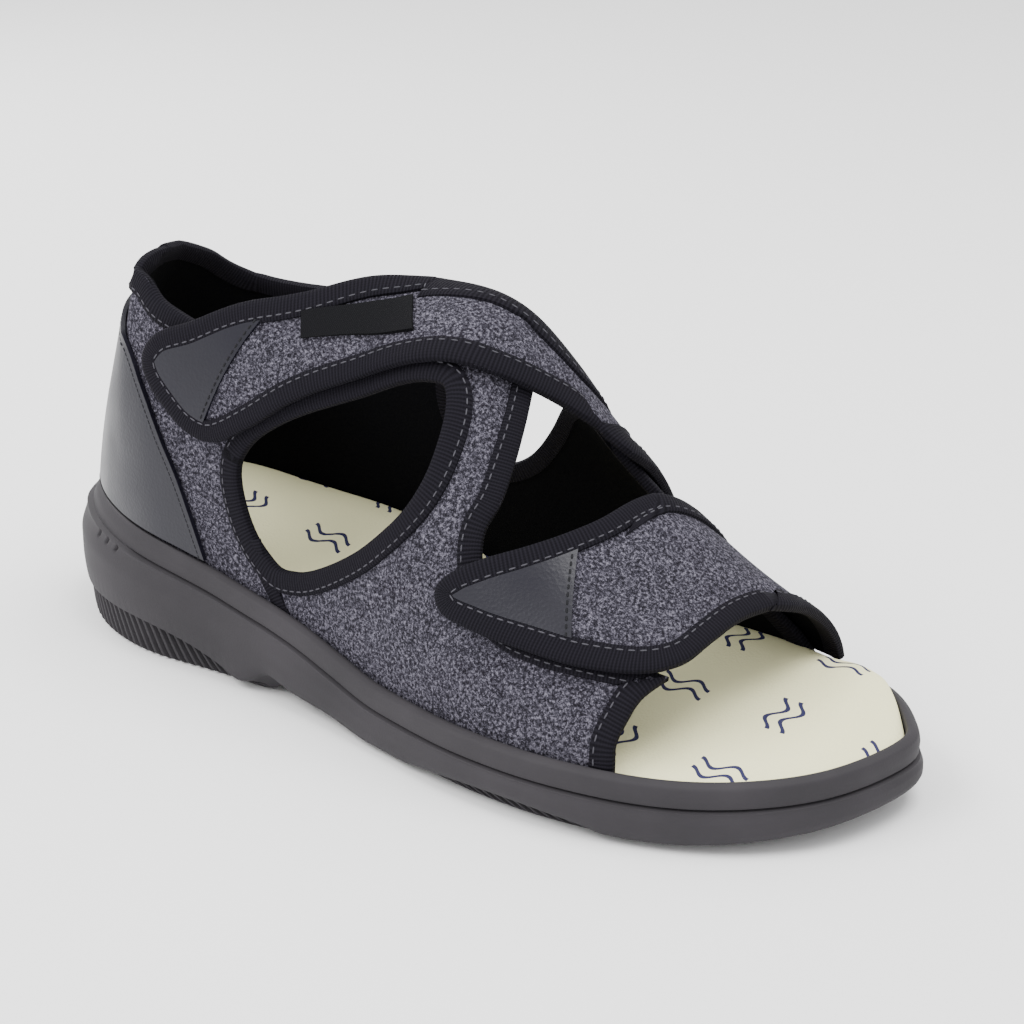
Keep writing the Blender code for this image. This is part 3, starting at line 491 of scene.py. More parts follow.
TOE_TAB_FRONT = ((0.688, -0.33), (0.740, -0.64))
print("spots of the ankle strap:", len(ANKLE_STRAP_EDGE))

# %% [markdown]
# Pieces are made as plain meshes from arrays of points. A sheet or a tape carries a map in metres,
# so a finish can lay its ribs or threads along the piece at their real size. Each piece rides on the
# shoe's one body, and a piece that stands for an imported solid hides that solid.

# %% Make a mesh piece
SHARP_ANGLE = math.radians(40)


def quads(rows, count, turns, first=0):
    """Faces between rows of points, each with this many points and this many steps along it."""
    faces = []
    for row in range(rows - 1):
        for k in range(turns):
            a = first + row * count + k
            b = first + row * count + (k + 1) % count
            faces.append((a, b, b + count, a + count))
    return faces


def make_piece(name, vertices, faces, looks, face_looks=None, chart=None, replaces=(), slot=None):
    mesh = bpy.data.meshes.new(name)
    mesh.from_pydata([tuple(v) for v in vertices], [], [tuple(int(i) for i in f) for f in faces])
    if chart is not None:
        layer = mesh.uv_layers.new(name="metres")
        index = np.zeros(len(mesh.loops), int)
        mesh.loops.foreach_get("vertex_index", index)
        layer.data.foreach_set("uv", np.asarray(chart, float)[index].ravel())
    for look in looks:
        mesh.materials.append(look)
    if face_looks is not None:
        mesh.polygons.foreach_set("material_index", np.asarray(face_looks, int))
    work = bmesh.new()
    work.from_mesh(mesh)
    bmesh.ops.recalc_face_normals(work, faces=work.faces)
    work.to_mesh(mesh)
    work.free()
    mesh.shade_smooth()
    mesh.set_sharp_from_angle(angle=SHARP_ANGLE)
    piece = bpy.data.objects.new(name, mesh)
    bpy.context.scene.collection.objects.link(piece)
    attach(piece, "root")
    if replaces:
        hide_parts(*replaces)
    print(name, "has", len(mesh.polygons), "faces")


# %% Cut a sheet from the last
SHEET_SPACING = 0.0022
EDGE_SPACING = 0.0014
LEAST_SHARE = 0.55
SEAM_DIP = 0.0005
SEAM_REACH = 0.0022
BINDING_WIDTH = 0.0060


def chart_run(spots):
    return open_curve([(at * LENGTH, girth * INSTEP_HEIGHT) for at, girth in spots], EDGE_SPACING)


def joined(runs):
    """Runs that meet end to end as one line of chart points."""
    parts = [chart_run(run) for run in runs]
    return np.vstack([part[:-1] for part in parts[:-1]] + [parts[-1]])


def inside(points, loops):
    """Which points lie inside the first loop and outside the others, counted by crossings."""
    found = np.zeros(len(points), bool)
    for loop in loops:
        follow = np.roll(loop, -1, axis=0)
        for a, b in zip(loop, follow):
            if a[1] == b[1]:
                continue
            spans = (a[1] <= points[:, 1]) != (b[1] <= points[:, 1])
            cut = a[0] + (points[:, 1] - a[1]) / (b[1] - a[1]) * (b[0] - a[0])
            found ^= spans & (points[:, 0] < cut)
    return found


def grid_inside(loops, spacing):
    low = loops[0].min(axis=0)
    high = loops[0].max(axis=0)
    rise = spacing * math.sqrt(3) / 2
    rows = []
    for k, y in enumerate(np.arange(low[1], high[1], rise)):
        start = low[0] + (spacing / 2 if k % 2 else 0.0)
        xs = np.arange(start, high[0], spacing)
        rows.append(np.column_stack([xs, np.full(len(xs), y)]))
    grid = np.vstack(rows)
    grid = grid[inside(grid, loops)]
    flat_edge = [(x, y, 0.0) for x, y in np.vstack(loops)]
    flat_grid = [(x, y, 0.0) for x, y in grid]
    return grid[distances(flat_grid, flat_edge) > spacing * LEAST_SHARE]


def sheet(name, mapping, loops, bottom, top, looks, sewn=None, **facts):
    """A closed sheet between two lifts. Its outside has the first look, the rest the second.
    sewn gives edge lines whose seam, a binding's width in, pulls the cloth down a little."""
    points = np.vstack([*loops, grid_inside(loops, SHEET_SPACING)])
    edges = []
    first = 0
    for loop in loops:
        count = len(loop)
        edges += [(first + k, first + (k + 1) % count) for k in range(count)]
        first += count
    found = delaunay_2d_cdt([Vector(p) for p in points], edges, [], 1, 1e-9)
    cut = np.array([tuple(v) for v in found[0]])
    cells = np.array(found[2])
    cells = cells[inside(cut[cells].mean(axis=1), loops)]
    lift = np.full(len(cut), top)
    if sewn is not None:
        lines = on_last(mapping, np.vstack(sewn))
        away = distances(on_last(mapping, cut), lines)
        lift -= SEAM_DIP * np.exp(-(((away - BINDING_WIDTH) / SEAM_REACH) ** 2))
    count = len(cut)
    vertices = np.vstack([lifted(mapping, cut, lift), lifted(mapping, cut, bottom)])
    faces = [tuple(c) for c in cells] + [tuple(c[::-1] + count) for c in cells]
    kinds = [0] * len(cells) + [1] * len(cells)
    for a, b in edges:
        faces.append((a, b, b + count, a + count))
        kinds.append(1)
    make_piece(name, vertices, faces, looks, kinds, np.vstack([cut, cut]), **facts)


print("sheet spacing in mm:", SHEET_SPACING * 1000)

# %% [markdown]
# A binding is a ribbed tape folded over a raw edge and sewn through. It is swept along the edge
# here: at each point of the edge a profile runs from the tape's inner border over the edge and
# back on the lining side. Where the edge bends tighter than the tape is wide, the rows stop at the
# line that is equally far from both sides, as a mitred fold does.

# %% Sweep tapes along the edges
Fold = namedtuple("Fold", "inset lift")
MITRE_SHARE = 0.93
MITRE_SLACK = 0.0001


def folded_tape(top, bottom, width=BINDING_WIDTH):
    """Profile of a tape that wraps an edge, from its border outside to its border inside."""
    return (
        Fold(width, top - 0.0004),
        Fold(width - 0.0001, top + 0.0003),
        Fold(width - 0.0005, top + 0.0006),
        Fold(width * 0.75, top + 0.0007),
        Fold(width * 0.50, top + 0.00075),
        Fold(width * 0.25, top + 0.0007),
        Fold(0.0006, top + 0.0005),
        Fold(0.0000, top + 0.0001),
        Fold(-0.0003, (top + bottom) / 2),
        Fold(0.0000, bottom),
        Fold(0.0008, bottom - 0.0004),
        Fold(width * 0.5, bottom - 0.0005),
        Fold(width * 0.8, bottom - 0.0004),
        Fold(width * 0.82, bottom + 0.0001),
    )


def flat_tape(top, width):
    """Profile of a tape that lies flat over a seam."""
    half = width / 2
    return (
        Fold(-half, top - 0.0004),
        Fold(-half + 0.0001, top + 0.0002),
        Fold(-half + 0.0006, top + 0.0005),
        Fold(0.0, top + 0.0006),
        Fold(half - 0.0006, top + 0.0005),
        Fold(half - 0.0001, top + 0.0002),
        Fold(half, top - 0.0004),
    )


def softened(run, closed, rounds=3):
    """The same line with its corners slightly rounded."""
    for _ in range(rounds):
        before = np.roll(run, 1, axis=0)
        after = np.roll(run, -1, axis=0)
        mean = (before + 2 * run + after) / 4
        if not closed:
            mean[0] = run[0]
            mean[-1] = run[-1]
        run = mean
    return run


def tape_steps(mapping, run, closed):
    if not closed:
        return across(mapping, run)
    padded = np.vstack([run[-3:], run, run[:3]])
    return across(mapping, padded)[3:-3]


def kept_insets(mapping, run, step, insets):
    """How far in each row may go at each point before it comes nearer to another part of the edge."""
    edge_points = on_last(mapping, run)
    kept = {}
    reach = np.zeros(len(run))
    going = np.ones(len(run), bool)
    for inset in sorted({i for i in insets if i > 0}):
        away = distances(on_last(mapping, run + inset * step), edge_points)
        going &= away > inset * MITRE_SHARE - MITRE_SLACK
        reach = np.where(going, inset, reach)
        kept[inset] = reach
    return kept


def tape(name, mapping, run, profile, look, closed=False):
    run = softened(run, closed)
    step = tape_steps(mapping, run, closed)
    kept = kept_insets(mapping, run, step, [fold.inset for fold in profile])
    rows = []
    for fold in profile:
        inset = kept[fold.inset] if fold.inset > 0 else np.full(len(run), fold.inset)
        rows.append(lifted(mapping, run + inset[:, None] * step, fold.lift))
    count = len(run)
    along = lengths_along(on_last(mapping, run))
    girths = np.cumsum([0.0] + [math.hypot(b.inset - a.inset, b.lift - a.lift)
                                for a, b in zip(profile[:-1], profile[1:])])
    chart = np.vstack([np.column_stack([along, np.full(count, g)]) for g in girths])
    faces = quads(len(profile), count, count if closed else count - 1)
    make_piece(name, np.vstack(rows), faces, [look], None, chart)


print("folds in a tape's profile:", len(folded_tape(WALL, 0.0)))

# %% [markdown]
# A row of stitches is a line of small thread bars with gaps between them. Each bar is a spindle
# that lies along its seam and stands a little out of the cloth, so it catches the light as thread
# does. They are gathered into one mesh for each row.

# %% Sew rows of stitches
STITCH_PITCH = 0.0027
STITCH_LENGTH = 0.0018
STITCH_RADIUS = 0.00016
STITCH_SIDES = 6
STITCH_SPREAD = 1.25
LINE_BREAK = 0.008
SPINDLE = ((-0.50, 0.0), (-0.42, 0.75), (-0.15, 1.0), (0.15, 1.0), (0.42, 0.75), (0.50, 0.0))


def stitches(name, mapping, run, inset, lift, look, closed=False, pitch=STITCH_PITCH,
             size=STITCH_LENGTH, fat=1.0):
    """Bars of thread beside a run, this far in from it."""
    run = softened(run, closed)
    step = tape_steps(mapping, run, closed)
    kept = kept_insets(mapping, run, step, [inset * share for share in (0.25, 0.5, 0.75, 1.0)])
    line = (run + inset * step)[kept[inset] > inset * 0.999]
    gaps = np.linalg.norm(np.diff(on_last(mapping, line), axis=0), axis=1)
    along = np.concatenate([[0.0], np.cumsum(np.where(gaps > LINE_BREAK, 0.0, gaps))])
    centres = np.arange(pitch / 2, along[-1] - pitch / 2, pitch)
    at, ahead, behind = (at_lengths(centres + share * size, along, line) for share in (0, 0.5, -0.5))
    _, normals = last_frame(*mapping(at))
    middles = lifted(mapping, at, lift)
    aims = lifted(mapping, ahead, lift) - lifted(mapping, behind, lift)
    good = np.linalg.norm(aims, axis=1) > size / 2
    vertices = []
    faces = []
    for middle, aim, normal in zip(middles[good], aims[good], normals[good]):
        aim = aim / np.linalg.norm(aim)
        beside = np.cross(aim, normal)
        beside /= np.linalg.norm(beside)
        base = len(vertices)
        for share, girth in SPINDLE:
            for k in range(STITCH_SIDES):
                angle = 2 * math.pi * k / STITCH_SIDES
                out = math.cos(angle) * beside * STITCH_SPREAD + math.sin(angle) * normal
                vertices.append(middle + aim * share * size + out * girth * fat * STITCH_RADIUS)
        faces += quads(len(SPINDLE), STITCH_SIDES, STITCH_SIDES, base)
    make_piece(name, vertices, faces, [look])


print("stitch pitch in mm:", STITCH_PITCH * 1000)

# %% [markdown]
# The finishes. Two effects come up in more than one material and are made once as node groups:
# a fine grain, for the moulded sole, the leather and the linings, and thread ribs, which run across
# a tape or a woven label at a pitch in metres. A group only puts out values, and the shader stays
# in each material.

# %% Build the shared effects
def new_group(name, inputs, outputs):
    group = bpy.data.node_groups.new(name, "ShaderNodeTree")
    for label, kind, value in inputs:
        socket = group.interface.new_socket(name=label, in_out="INPUT", socket_type=kind)
        socket.default_value = value
    for label, kind in outputs:
        group.interface.new_socket(name=label, in_out="OUTPUT", socket_type=kind)
    return group, group.nodes.new("NodeGroupInput"), group.nodes.new("NodeGroupOutput")


def math_node(tree, operation, *values, clamp=False):
    node = tree.nodes.new("ShaderNodeMath")
    node.operation = operation
    node.use_clamp = clamp
    for socket, value in zip(node.inputs, values):
        if isinstance(value, (int, float)):
            socket.default_value = value
        else:
            tree.links.new(value, socket)
    return node.outputs[0]


grain_group, grain_in, grain_out = new_group(
    "fine_grain", (("Scale", "NodeSocketFloat", 900.0), ("Detail", "NodeSocketFloat", 4.0)),
    (("Height", "NodeSocketFloat"), ("Patches", "NodeSocketFloat")),
)
spot = grain_group.nodes.new("ShaderNodeTexCoord")
grain_noise = grain_group.nodes.new("ShaderNodeTexNoise")
grain_cells = grain_group.nodes.new("ShaderNodeTexVoronoi")
grain_patches = grain_group.nodes.new("ShaderNodeTexNoise")
for texture in (grain_noise, grain_cells, grain_patches):
    grain_group.links.new(spot.outputs["Object"], texture.inputs["Vector"])
grain_group.links.new(grain_in.outputs["Scale"], grain_noise.inputs["Scale"])
grain_group.links.new(grain_in.outputs["Detail"], grain_noise.inputs["Detail"])
grain_group.links.new(grain_in.outputs["Scale"], grain_cells.inputs["Scale"])
grain_patches.inputs["Scale"].default_value = 45.0
grain_patches.inputs["Detail"].default_value = 3.0
height = math_node(grain_group, "MULTIPLY", grain_cells.outputs["Distance"],
                   grain_noise.outputs["Fac"])
grain_group.links.new(height, grain_out.inputs["Height"])
grain_group.links.new(grain_patches.outputs["Fac"], grain_out.inputs["Patches"])

rib_group, rib_in, rib_out = new_group(
    "thread_ribs", (("Pitch", "NodeSocketFloat", 0.0010), ("Cross Pitch", "NodeSocketFloat", 0.0006)),
    (("Height", "NodeSocketFloat"),),
)
rib_map = rib_group.nodes.new("ShaderNodeUVMap")
rib_map.uv_map = "metres"
rib_parts = rib_group.nodes.new("ShaderNodeSeparateXYZ")
rib_group.links.new(rib_map.outputs["UV"], rib_parts.inputs[0])
long_wave, cross_wave = (
    math_node(rib_group, "SINE", math_node(
        rib_group, "DIVIDE", math_node(rib_group, "MULTIPLY", rib_parts.outputs[axis], 2 * math.pi),
        rib_in.outputs[pitch]))
    for axis, pitch in (("X", "Pitch"), ("Y", "Cross Pitch"))
)
rib_waves = math_node(rib_group, "ADD", long_wave, math_node(rib_group, "MULTIPLY", cross_wave, 0.25))
rib_height = math_node(rib_group, "MULTIPLY_ADD", rib_waves, 0.4, 0.5)
rib_group.links.new(rib_height, rib_out.inputs["Height"])
print("shared effects:", [group.name for group in bpy.data.node_groups])


# %% Make materials from a short description
def new_look(name, colour, roughness, **sockets):
    look = bpy.data.materials.new(name)
    look.use_nodes = True
    shader = look.node_tree.nodes["Principled BSDF"]
    shader.inputs["Base Color"].default_value = (*colour, 1.0)
    shader.inputs["Roughness"].default_value = roughness
    for label, value in sockets.items():
        shader.inputs[label.replace("_", " ")].default_value = value
    return look, look.node_tree, shader


def place_group(tree, group, **values):
    node = tree.nodes.new("ShaderNodeGroup")
    node.node_tree = group
    for label, value in values.items():
        node.inputs[label.replace("_", " ")].default_value = value
    return node


def bump(tree, shader, height, distance, strength=1.0):
    node = tree.nodes.new("ShaderNodeBump")
    node.inputs["Strength"].default_value = strength
    node.inputs["Distance"].default_value = distance
    tree.links.new(height, node.inputs["Height"])
    tree.links.new(node.outputs["Normal"], shader.inputs["Normal"])


def grained(tree, shader, scale, detail, distance, strength):
    """Bump from the shared grain, at a scale of its own."""
    grain = place_group(tree, grain_group, Scale=scale, Detail=detail)
    bump(tree, shader, grain.outputs["Height"], distance, strength)
    return grain


def ribbed(tree, shader, pitch, cross_pitch, distance, strength):
    """Bump from the shared thread ribs, at pitches of its own."""
    ribs = place_group(tree, rib_group, Pitch=pitch, Cross_Pitch=cross_pitch)
    bump(tree, shader, ribs.outputs["Height"], distance, strength)
    return ribs


def ramp(tree, value, socket, stops):
    """Colours or greys for a value, sent to a socket of the shader."""
    node = tree.nodes.new("ShaderNodeValToRGB")
    tree.links.new(value, node.inputs["Fac"])
    while len(node.color_ramp.elements) < len(stops):
        node.color_ramp.elements.new(0.5)
    for element, (place, colour) in zip(node.color_ramp.elements, stops):
        element.position = place
        element.color = (*colour, 1.0)
    tree.links.new(node.outputs["Color"], socket)


# %% [markdown]
# The upper's cloth is a felted knit spun from dark and light fibres, so it reads as charcoal with
# many pale flecks less than half a millimetre across. Two noises of different size are added: the
# finer one makes the fibres and the coarser one gathers them into flecks.

# %% The cloth of the upper and its dark parts
cloth, tree, shader = new_look("melange_cloth", (0.05, 0.05, 0.06), 0.95, Specular_IOR_Level=0.08)
coords = tree.nodes.new("ShaderNodeTexCoord")
fibres = tree.nodes.new("ShaderNodeTexNoise")
fibres.inputs["Scale"].default_value = 2900.0
fibres.inputs["Detail"].default_value = 3.0
fibres.inputs["Roughness"].default_value = 0.7
flecks = tree.nodes.new("ShaderNodeTexNoise")
flecks.inputs["Scale"].default_value = 1250.0
flecks.inputs["Detail"].default_value = 2.0
for texture in (fibres, flecks):
    tree.links.new(coords.outputs["Object"], texture.inputs["Vector"])
mixed = math_node(tree, "ADD", math_node(tree, "MULTIPLY", fibres.outputs["Fac"], 0.55),
                  math_node(tree, "MULTIPLY", flecks.outputs["Fac"], 0.45))
CLOTH_DARK, CLOTH_MID, CLOTH_PALE = (0.008, 0.007, 0.010), (0.032, 0.030, 0.040), (0.17, 0.16, 0.20)
ramp(tree, mixed, shader.inputs["Base Color"],
     ((0.40, CLOTH_DARK), (0.50, CLOTH_MID), (0.64, CLOTH_PALE)))
bump(tree, shader, mixed, 0.0006, 0.6)

binding, tree, shader = new_look("ribbed_binding", (0.011, 0.010, 0.014), 0.85, Specular_IOR_Level=0.08)
ribs = ribbed(tree, shader, 0.0009, 0.0007, 0.00020, 0.8)
# The binding's colour follows the rib height: darker in the grooves between the ribs, lighter on their
# crests. This is painted shade in the grooves, over the ribs' bump.
ramp(tree, ribs.outputs["Height"], shader.inputs["Base Color"],
     ((0.1, (0.004, 0.0035, 0.0055)), (0.9, (0.010, 0.009, 0.013))))

lining, tree, shader = new_look("dark_lining", (0.003, 0.003, 0.004), 0.95, Specular_IOR_Level=0.05)
grained(tree, shader, 1200.0, 3.0, 0.0003, 0.5)

thread, tree, shader = new_look("grey_thread", (0.062, 0.060, 0.070), 0.8, Specular_IOR_Level=0.10)
grained(tree, shader, 3000.0, 1.0, 0.0001, 0.5)

dark_thread, tree, shader = new_look("dark_thread", (0.006, 0.006, 0.008), 0.7, Specular_IOR_Level=0.20)
grained(tree, shader, 3000.0, 1.0, 0.0001, 0.5)

woven, tree, shader = new_look("woven_label", (0.006, 0.006, 0.007), 0.90, Specular_IOR_Level=0.08)
ribbed(tree, shader, 0.0005, 0.0005, 0.0002, 0.6)
print("cloth materials:", [m.name for m in bpy.data.materials])

# %% [markdown]
# The heel counter and the tabs are smooth calf leather with a soft grey sheen, the outsole is
# moulded in one matt charcoal rubber, and the footbed is covered with cream cloth. The leather
# and the rubber share the grain group at their own scales. The footbed carries a small printed
# ornament of short waves in navy, turned this way and that, which stands for no name.

# %% The leather, the rubber and the footbed's cloth
leather, tree, shader = new_look("soft_leather", (0.007, 0.0065, 0.012), 0.40, Specular_IOR_Level=0.30)
grain = grained(tree, shader, 1100.0, 3.0, 0.00012, 0.5)
ramp(tree, grain.outputs["Patches"], shader.inputs["Roughness"],
     ((0.3, (0.32, 0.32, 0.32)), (0.7, (0.44, 0.44, 0.44))))

rubber, tree, shader = new_look("moulded_rubber", (0.040, 0.038, 0.041), 0.66, Specular_IOR_Level=0.15)
grain = grained(tree, shader, 1600.0, 2.0, 0.00010, 0.5)
ramp(tree, grain.outputs["Patches"], shader.inputs["Base Color"],
     ((0.3, (0.028, 0.026, 0.029)), (0.7, (0.036, 0.033, 0.037))))

CREAM, NAVY = (0.86, 0.83, 0.51), (0.030, 0.030, 0.080)
footbed, tree, shader = new_look("footbed_cloth", CREAM, 0.9, Specular_IOR_Level=0.15)
MOTIF_CELL = 0.030
MOTIF_HALF = 0.0075
MOTIF_SWING = 0.0016
MOTIF_STROKE = 0.00065
MOTIF_GAP = 0.0022
coords = tree.nodes.new("ShaderNodeTexCoord")
parts = tree.nodes.new("ShaderNodeSeparateXYZ")
tree.links.new(coords.outputs["Object"], parts.inputs[0])


def ink_math(operation, *values, clamp=False):
    return math_node(tree, operation, *values, clamp=clamp)


def cell_part(axis, offset):
    """Where a point is within its cell, from the cell's middle, and the cell's number."""
    scaled = ink_math("ADD", ink_math("DIVIDE", parts.outputs[axis], MOTIF_CELL), offset)
    number = ink_math("FLOOR", scaled)
    share = ink_math("SUBTRACT", ink_math("SUBTRACT", scaled, number), 0.5)
    return ink_math("MULTIPLY", share, MOTIF_CELL), number


def wave_mark(along, beside, gap):
    """One short wave beside the middle of a cell: 1 on its stroke and 0 off it."""
    turn = ink_math("MULTIPLY", along, 3 * math.pi / MOTIF_HALF / 2)
    swing = ink_math("MULTIPLY", ink_math("SINE", turn), MOTIF_SWING)
    off = ink_math("ABSOLUTE", ink_math("SUBTRACT", ink_math("SUBTRACT", beside, gap), swing))
    stroke = ink_math("LESS_THAN", off, MOTIF_STROKE)
    length = ink_math("LESS_THAN", ink_math("ABSOLUTE", along), MOTIF_HALF)
    return ink_math("MULTIPLY", stroke, length)


def wave_pair(along, beside):
    return ink_math("ADD", wave_mark(along, beside, MOTIF_GAP), wave_mark(along, beside, -MOTIF_GAP),
                    clamp=True)


def motif(offset_x, offset_y):
    """Pairs of waves, one set along the foot and one across it, in alternate cells."""
    x, column = cell_part("X", offset_x)
    y, row = cell_part("Y", offset_y)
    chequer = ink_math("MODULO", ink_math("ABSOLUTE", ink_math("ADD", column, row)), 2.0)
    upright = ink_math("GREATER_THAN", chequer, 0.5)
    flat = ink_math("SUBTRACT", 1.0, upright)
    return ink_math("ADD", ink_math("MULTIPLY", wave_pair(x, y), flat),
                    ink_math("MULTIPLY", wave_pair(y, x), upright), clamp=True)


print_mask = motif(0.15, 0.35)
ink = tree.nodes.new("ShaderNodeMix")
ink.data_type = "RGBA"
ink.inputs["A"].default_value = (*CREAM, 1.0)
ink.inputs["B"].default_value = (*NAVY, 1.0)
tree.links.new(print_mask, ink.inputs["Factor"])
tree.links.new(ink.outputs["Result"], shader.inputs["Base Color"])
grained(tree, shader, 1400.0, 3.0, 0.00025, 0.7)
print("materials:", len(bpy.data.materials))

# %% [markdown]
# The outsole is one moulding. Its wall is drawn as rows of points that follow the rim's outline:
# the lip round the insole, the band, the groove, the bulging wall and the ribbed panel above the
# tread. The rows are joined by smooth curves, and the ribs have six columns each, so they are real
# relief.

# %% Mould the outsole
RIM_ROUND = 0.0006
RIM_SHOULDER = 0.0010
RECESS_DEPTH = 0.0070
BAND_HEIGHT = 0.0066
BAND_CROWN = 0.0005
GROOVE_WIDTH = 0.0010
GROOVE_DEPTH = 0.0007
HEEL_LIP = 0.0032
HEEL_FLARE = 0.0045
HEEL_ZONE = 0.30
TREAD_INSET = 0.0027
TREAD_ROUND = 0.0015
PANEL_LEDGE = 0.0006
WALL_LOW = 0.38
WALL_HIGH = 0.72
RIB_DEPTH = 0.0012
RIB_LEAN = 0.0060
RIB_FADE = 0.1
HEEL_RIBS = 34
HEEL_RIBS_END = 0.330
TOE_RIBS = 26
TOE_RIBS_START = 0.517
TOE_RIBS_END = 0.844
COLUMNS_PER_RIB = 6
WAIST_COLUMNS = 36
TOE_COLUMNS = 60
ROW_STEPS = 4
SLITS = 3
SLIT_DEPTH = 0.0010
SLIT_START = 0.0428
SLIT_PITCH = 0.0052
SLIT_HALF = 0.00045
SLIT_FOOT = 0.15
SLIT_FADE = 0.03
SLIT_SLANT = 0.012
GROOVE_START = 0.055
GROOVE_FADE = 0.008
UPPER_WALL = (0.0, 0.05, 0.10, 0.15, 0.22, 0.30)
RIB_SQUARENESS = 1.6
EDGE_STEP = 2e-4


def edge_reach(side):
    return lengths_along(side_edge(side))


def reach_at(side, x):
    return float(np.interp(x, side_edge(side)[:, 0], edge_reach(side)))


def rim_spot(side, reach, out):
    """A point of the rim's outline, moved outward, for distances from the heel along one side."""
    edge = side_edge(side)
    lengths = edge_reach(side)
    other = side_edge(-side)
    far = edge_reach(-side)

    def on_edge(distance):
        mirrored = np.abs(distance)
        over = mirrored > lengths[-1]
        place = np.where(over, 2 * lengths[-1] - mirrored, mirrored)
        own = at_lengths(place, lengths, edge)
        beyond = np.where(over, far[-1] - (mirrored - lengths[-1]), place)
        return np.where(((distance < 0) | over)[:, None], at_lengths(beyond, far, other), own)

    ahead = unit(on_edge(reach + EDGE_STEP) - on_edge(reach - EDGE_STEP))
    outward = side * np.column_stack([-ahead[:, 1], ahead[:, 0]])
    return on_edge(reach) + outward * out[:, None]


def column_reaches(side):
    """Distances from the heel of the outsole's columns along one side, and each column's rib height."""
    marks = [0.0, reach_at(side, HEEL_RIBS_END * LENGTH), reach_at(side, TOE_RIBS_START * LENGTH),
             reach_at(side, TOE_RIBS_END * LENGTH), edge_reach(side)[-1]]
    counts = (COLUMNS_PER_RIB * HEEL_RIBS, WAIST_COLUMNS, COLUMNS_PER_RIB * TOE_RIBS, TOE_COLUMNS)
    reaches = []
    ribs = []
    for start, end, count, raised in zip(marks[:-1], marks[1:], counts, (1, 0, 1, 0)):
        reaches += list(np.linspace(start, end, count, endpoint=False))
        turn = 2 * math.pi * np.arange(count) / COLUMNS_PER_RIB
        ribs += list(-raised * np.clip(RIB_SQUARENESS * np.cos(turn), -1, 1))
    return np.array(reaches + marks[-1:]), np.array(ribs + [0])


def outsole_rows(side):
    reach, rib = column_reaches(side)
    x = rim_spot(side, reach, np.zeros(len(reach)))[:, 0]
    rim = sole_level("rim", x)
    ground = sole_level("ground", x)
    panel = ground + np.maximum(sole_level("panel", x), TREAD_ROUND * 1.5)
    groove = rim - BAND_HEIGHT
    heel = np.clip(1 - x / (HEEL_ZONE * LENGTH), 0, 1)
    bulge = WALL_BULGE + (HEEL_BULGE - WALL_BULGE) * heel
    lip = -HEEL_LIP * heel
    tall = np.clip((panel - ground) / (RIB_FADE * HEEL_HEIGHT), 0, 1)
    ridge = RIB_DEPTH / 2 * rib * tall
    lean = RIB_LEAN * np.clip(np.minimum(x, LENGTH - x) / (RIB_FADE * LENGTH), 0, 1)
    tread = HEEL_FLARE * heel - TREAD_INSET
    under = groove - GROOVE_WIDTH / 2
    fade = eased((reach - GROOVE_START) / GROOVE_FADE)
    dip = BAND_CROWN / 2 - (BAND_CROWN / 2 + GROOVE_DEPTH) * fade
    rows = [
        (-RIM_WIDTH, rim - RECESS_DEPTH, 0.0),
        (-RIM_WIDTH, rim - RIM_ROUND, 0.0),
        (-RIM_WIDTH + 2 * RIM_ROUND, rim, 0.0),
        (lip, rim - RIM_SHOULDER, 0.0),
        (lip / 2 + BAND_CROWN, rim - BAND_HEIGHT / 2, 0.0),
        (BAND_CROWN / 2, groove + GROOVE_WIDTH / 2, 0.0),
        (dip, groove, 0.0),
        *((bulge * (1 + eased(share / WALL_LOW)) / 2, under + (panel - under) * share, 0.0)
          for share in UPPER_WALL),
        (bulge, under + (panel - under) * WALL_LOW, 0.0),
        (bulge, under + (panel - under) * WALL_HIGH, 0.0),
        (bulge * 0.8 + tread * 0.2, panel, 0.0),
        ((bulge + tread - RIB_DEPTH) / 2 + ridge, panel - PANEL_LEDGE, 0.2),
        (tread + ridge, ground + TREAD_ROUND, 0.8),
        (tread - TREAD_ROUND, ground, 1.0),
    ]
    control = np.array([
        np.column_stack([out * np.ones(len(x)), height, part * np.ones(len(x))])
        for out, height, part in rows
    ])
    fine = smooth_rows(control)
    slit = slit_depths(side, reach, fine, under, panel)
    return [
        np.column_stack([rim_spot(side, reach + lean * row[:, 2], row[:, 0] - cut), row[:, 1]])
        for row, cut in zip(fine, slit)
    ]


def smooth_rows(control):
    """Extra rows between the control rows, on curves that keep close to them."""
    rows = []
    count = len(control)
    for i in range(count - 1):
        a = control[max(i - 1, 0)]
        b = control[i]
        c = control[i + 1]
        d = control[min(i + 2, count - 1)]
        for k in range(ROW_STEPS):
            t = k / ROW_STEPS
            straight = b + (c - b) * t
            curved = 0.5 * (2 * b + (c - a) * t + (2 * a - 5 * b + 4 * c - d) * t**2
                            + (3 * b - a - 3 * c + d) * t**3)
            rows.append((straight + curved) / 2)
    return rows + [control[-1]]


def slit_depths(side, reach, rows, under, panel):
    """How deep each row is cut by the short slanted slits behind the heel, on the outer side."""
    depths = []
    for row in rows:
        depth = np.zeros(len(reach))
        share = (under - row[:, 1]) / (under - panel)
        if side < 0:
            tall = eased(share / SLIT_FADE) * eased((SLIT_FOOT - share) / SLIT_FADE)
            for k in range(SLITS):
                centre = SLIT_START + SLIT_PITCH * k - SLIT_SLANT * share
                depth += SLIT_DEPTH * tall * np.exp(-(((reach - centre) / SLIT_HALF) ** 2))
        depths.append(depth)
    return depths


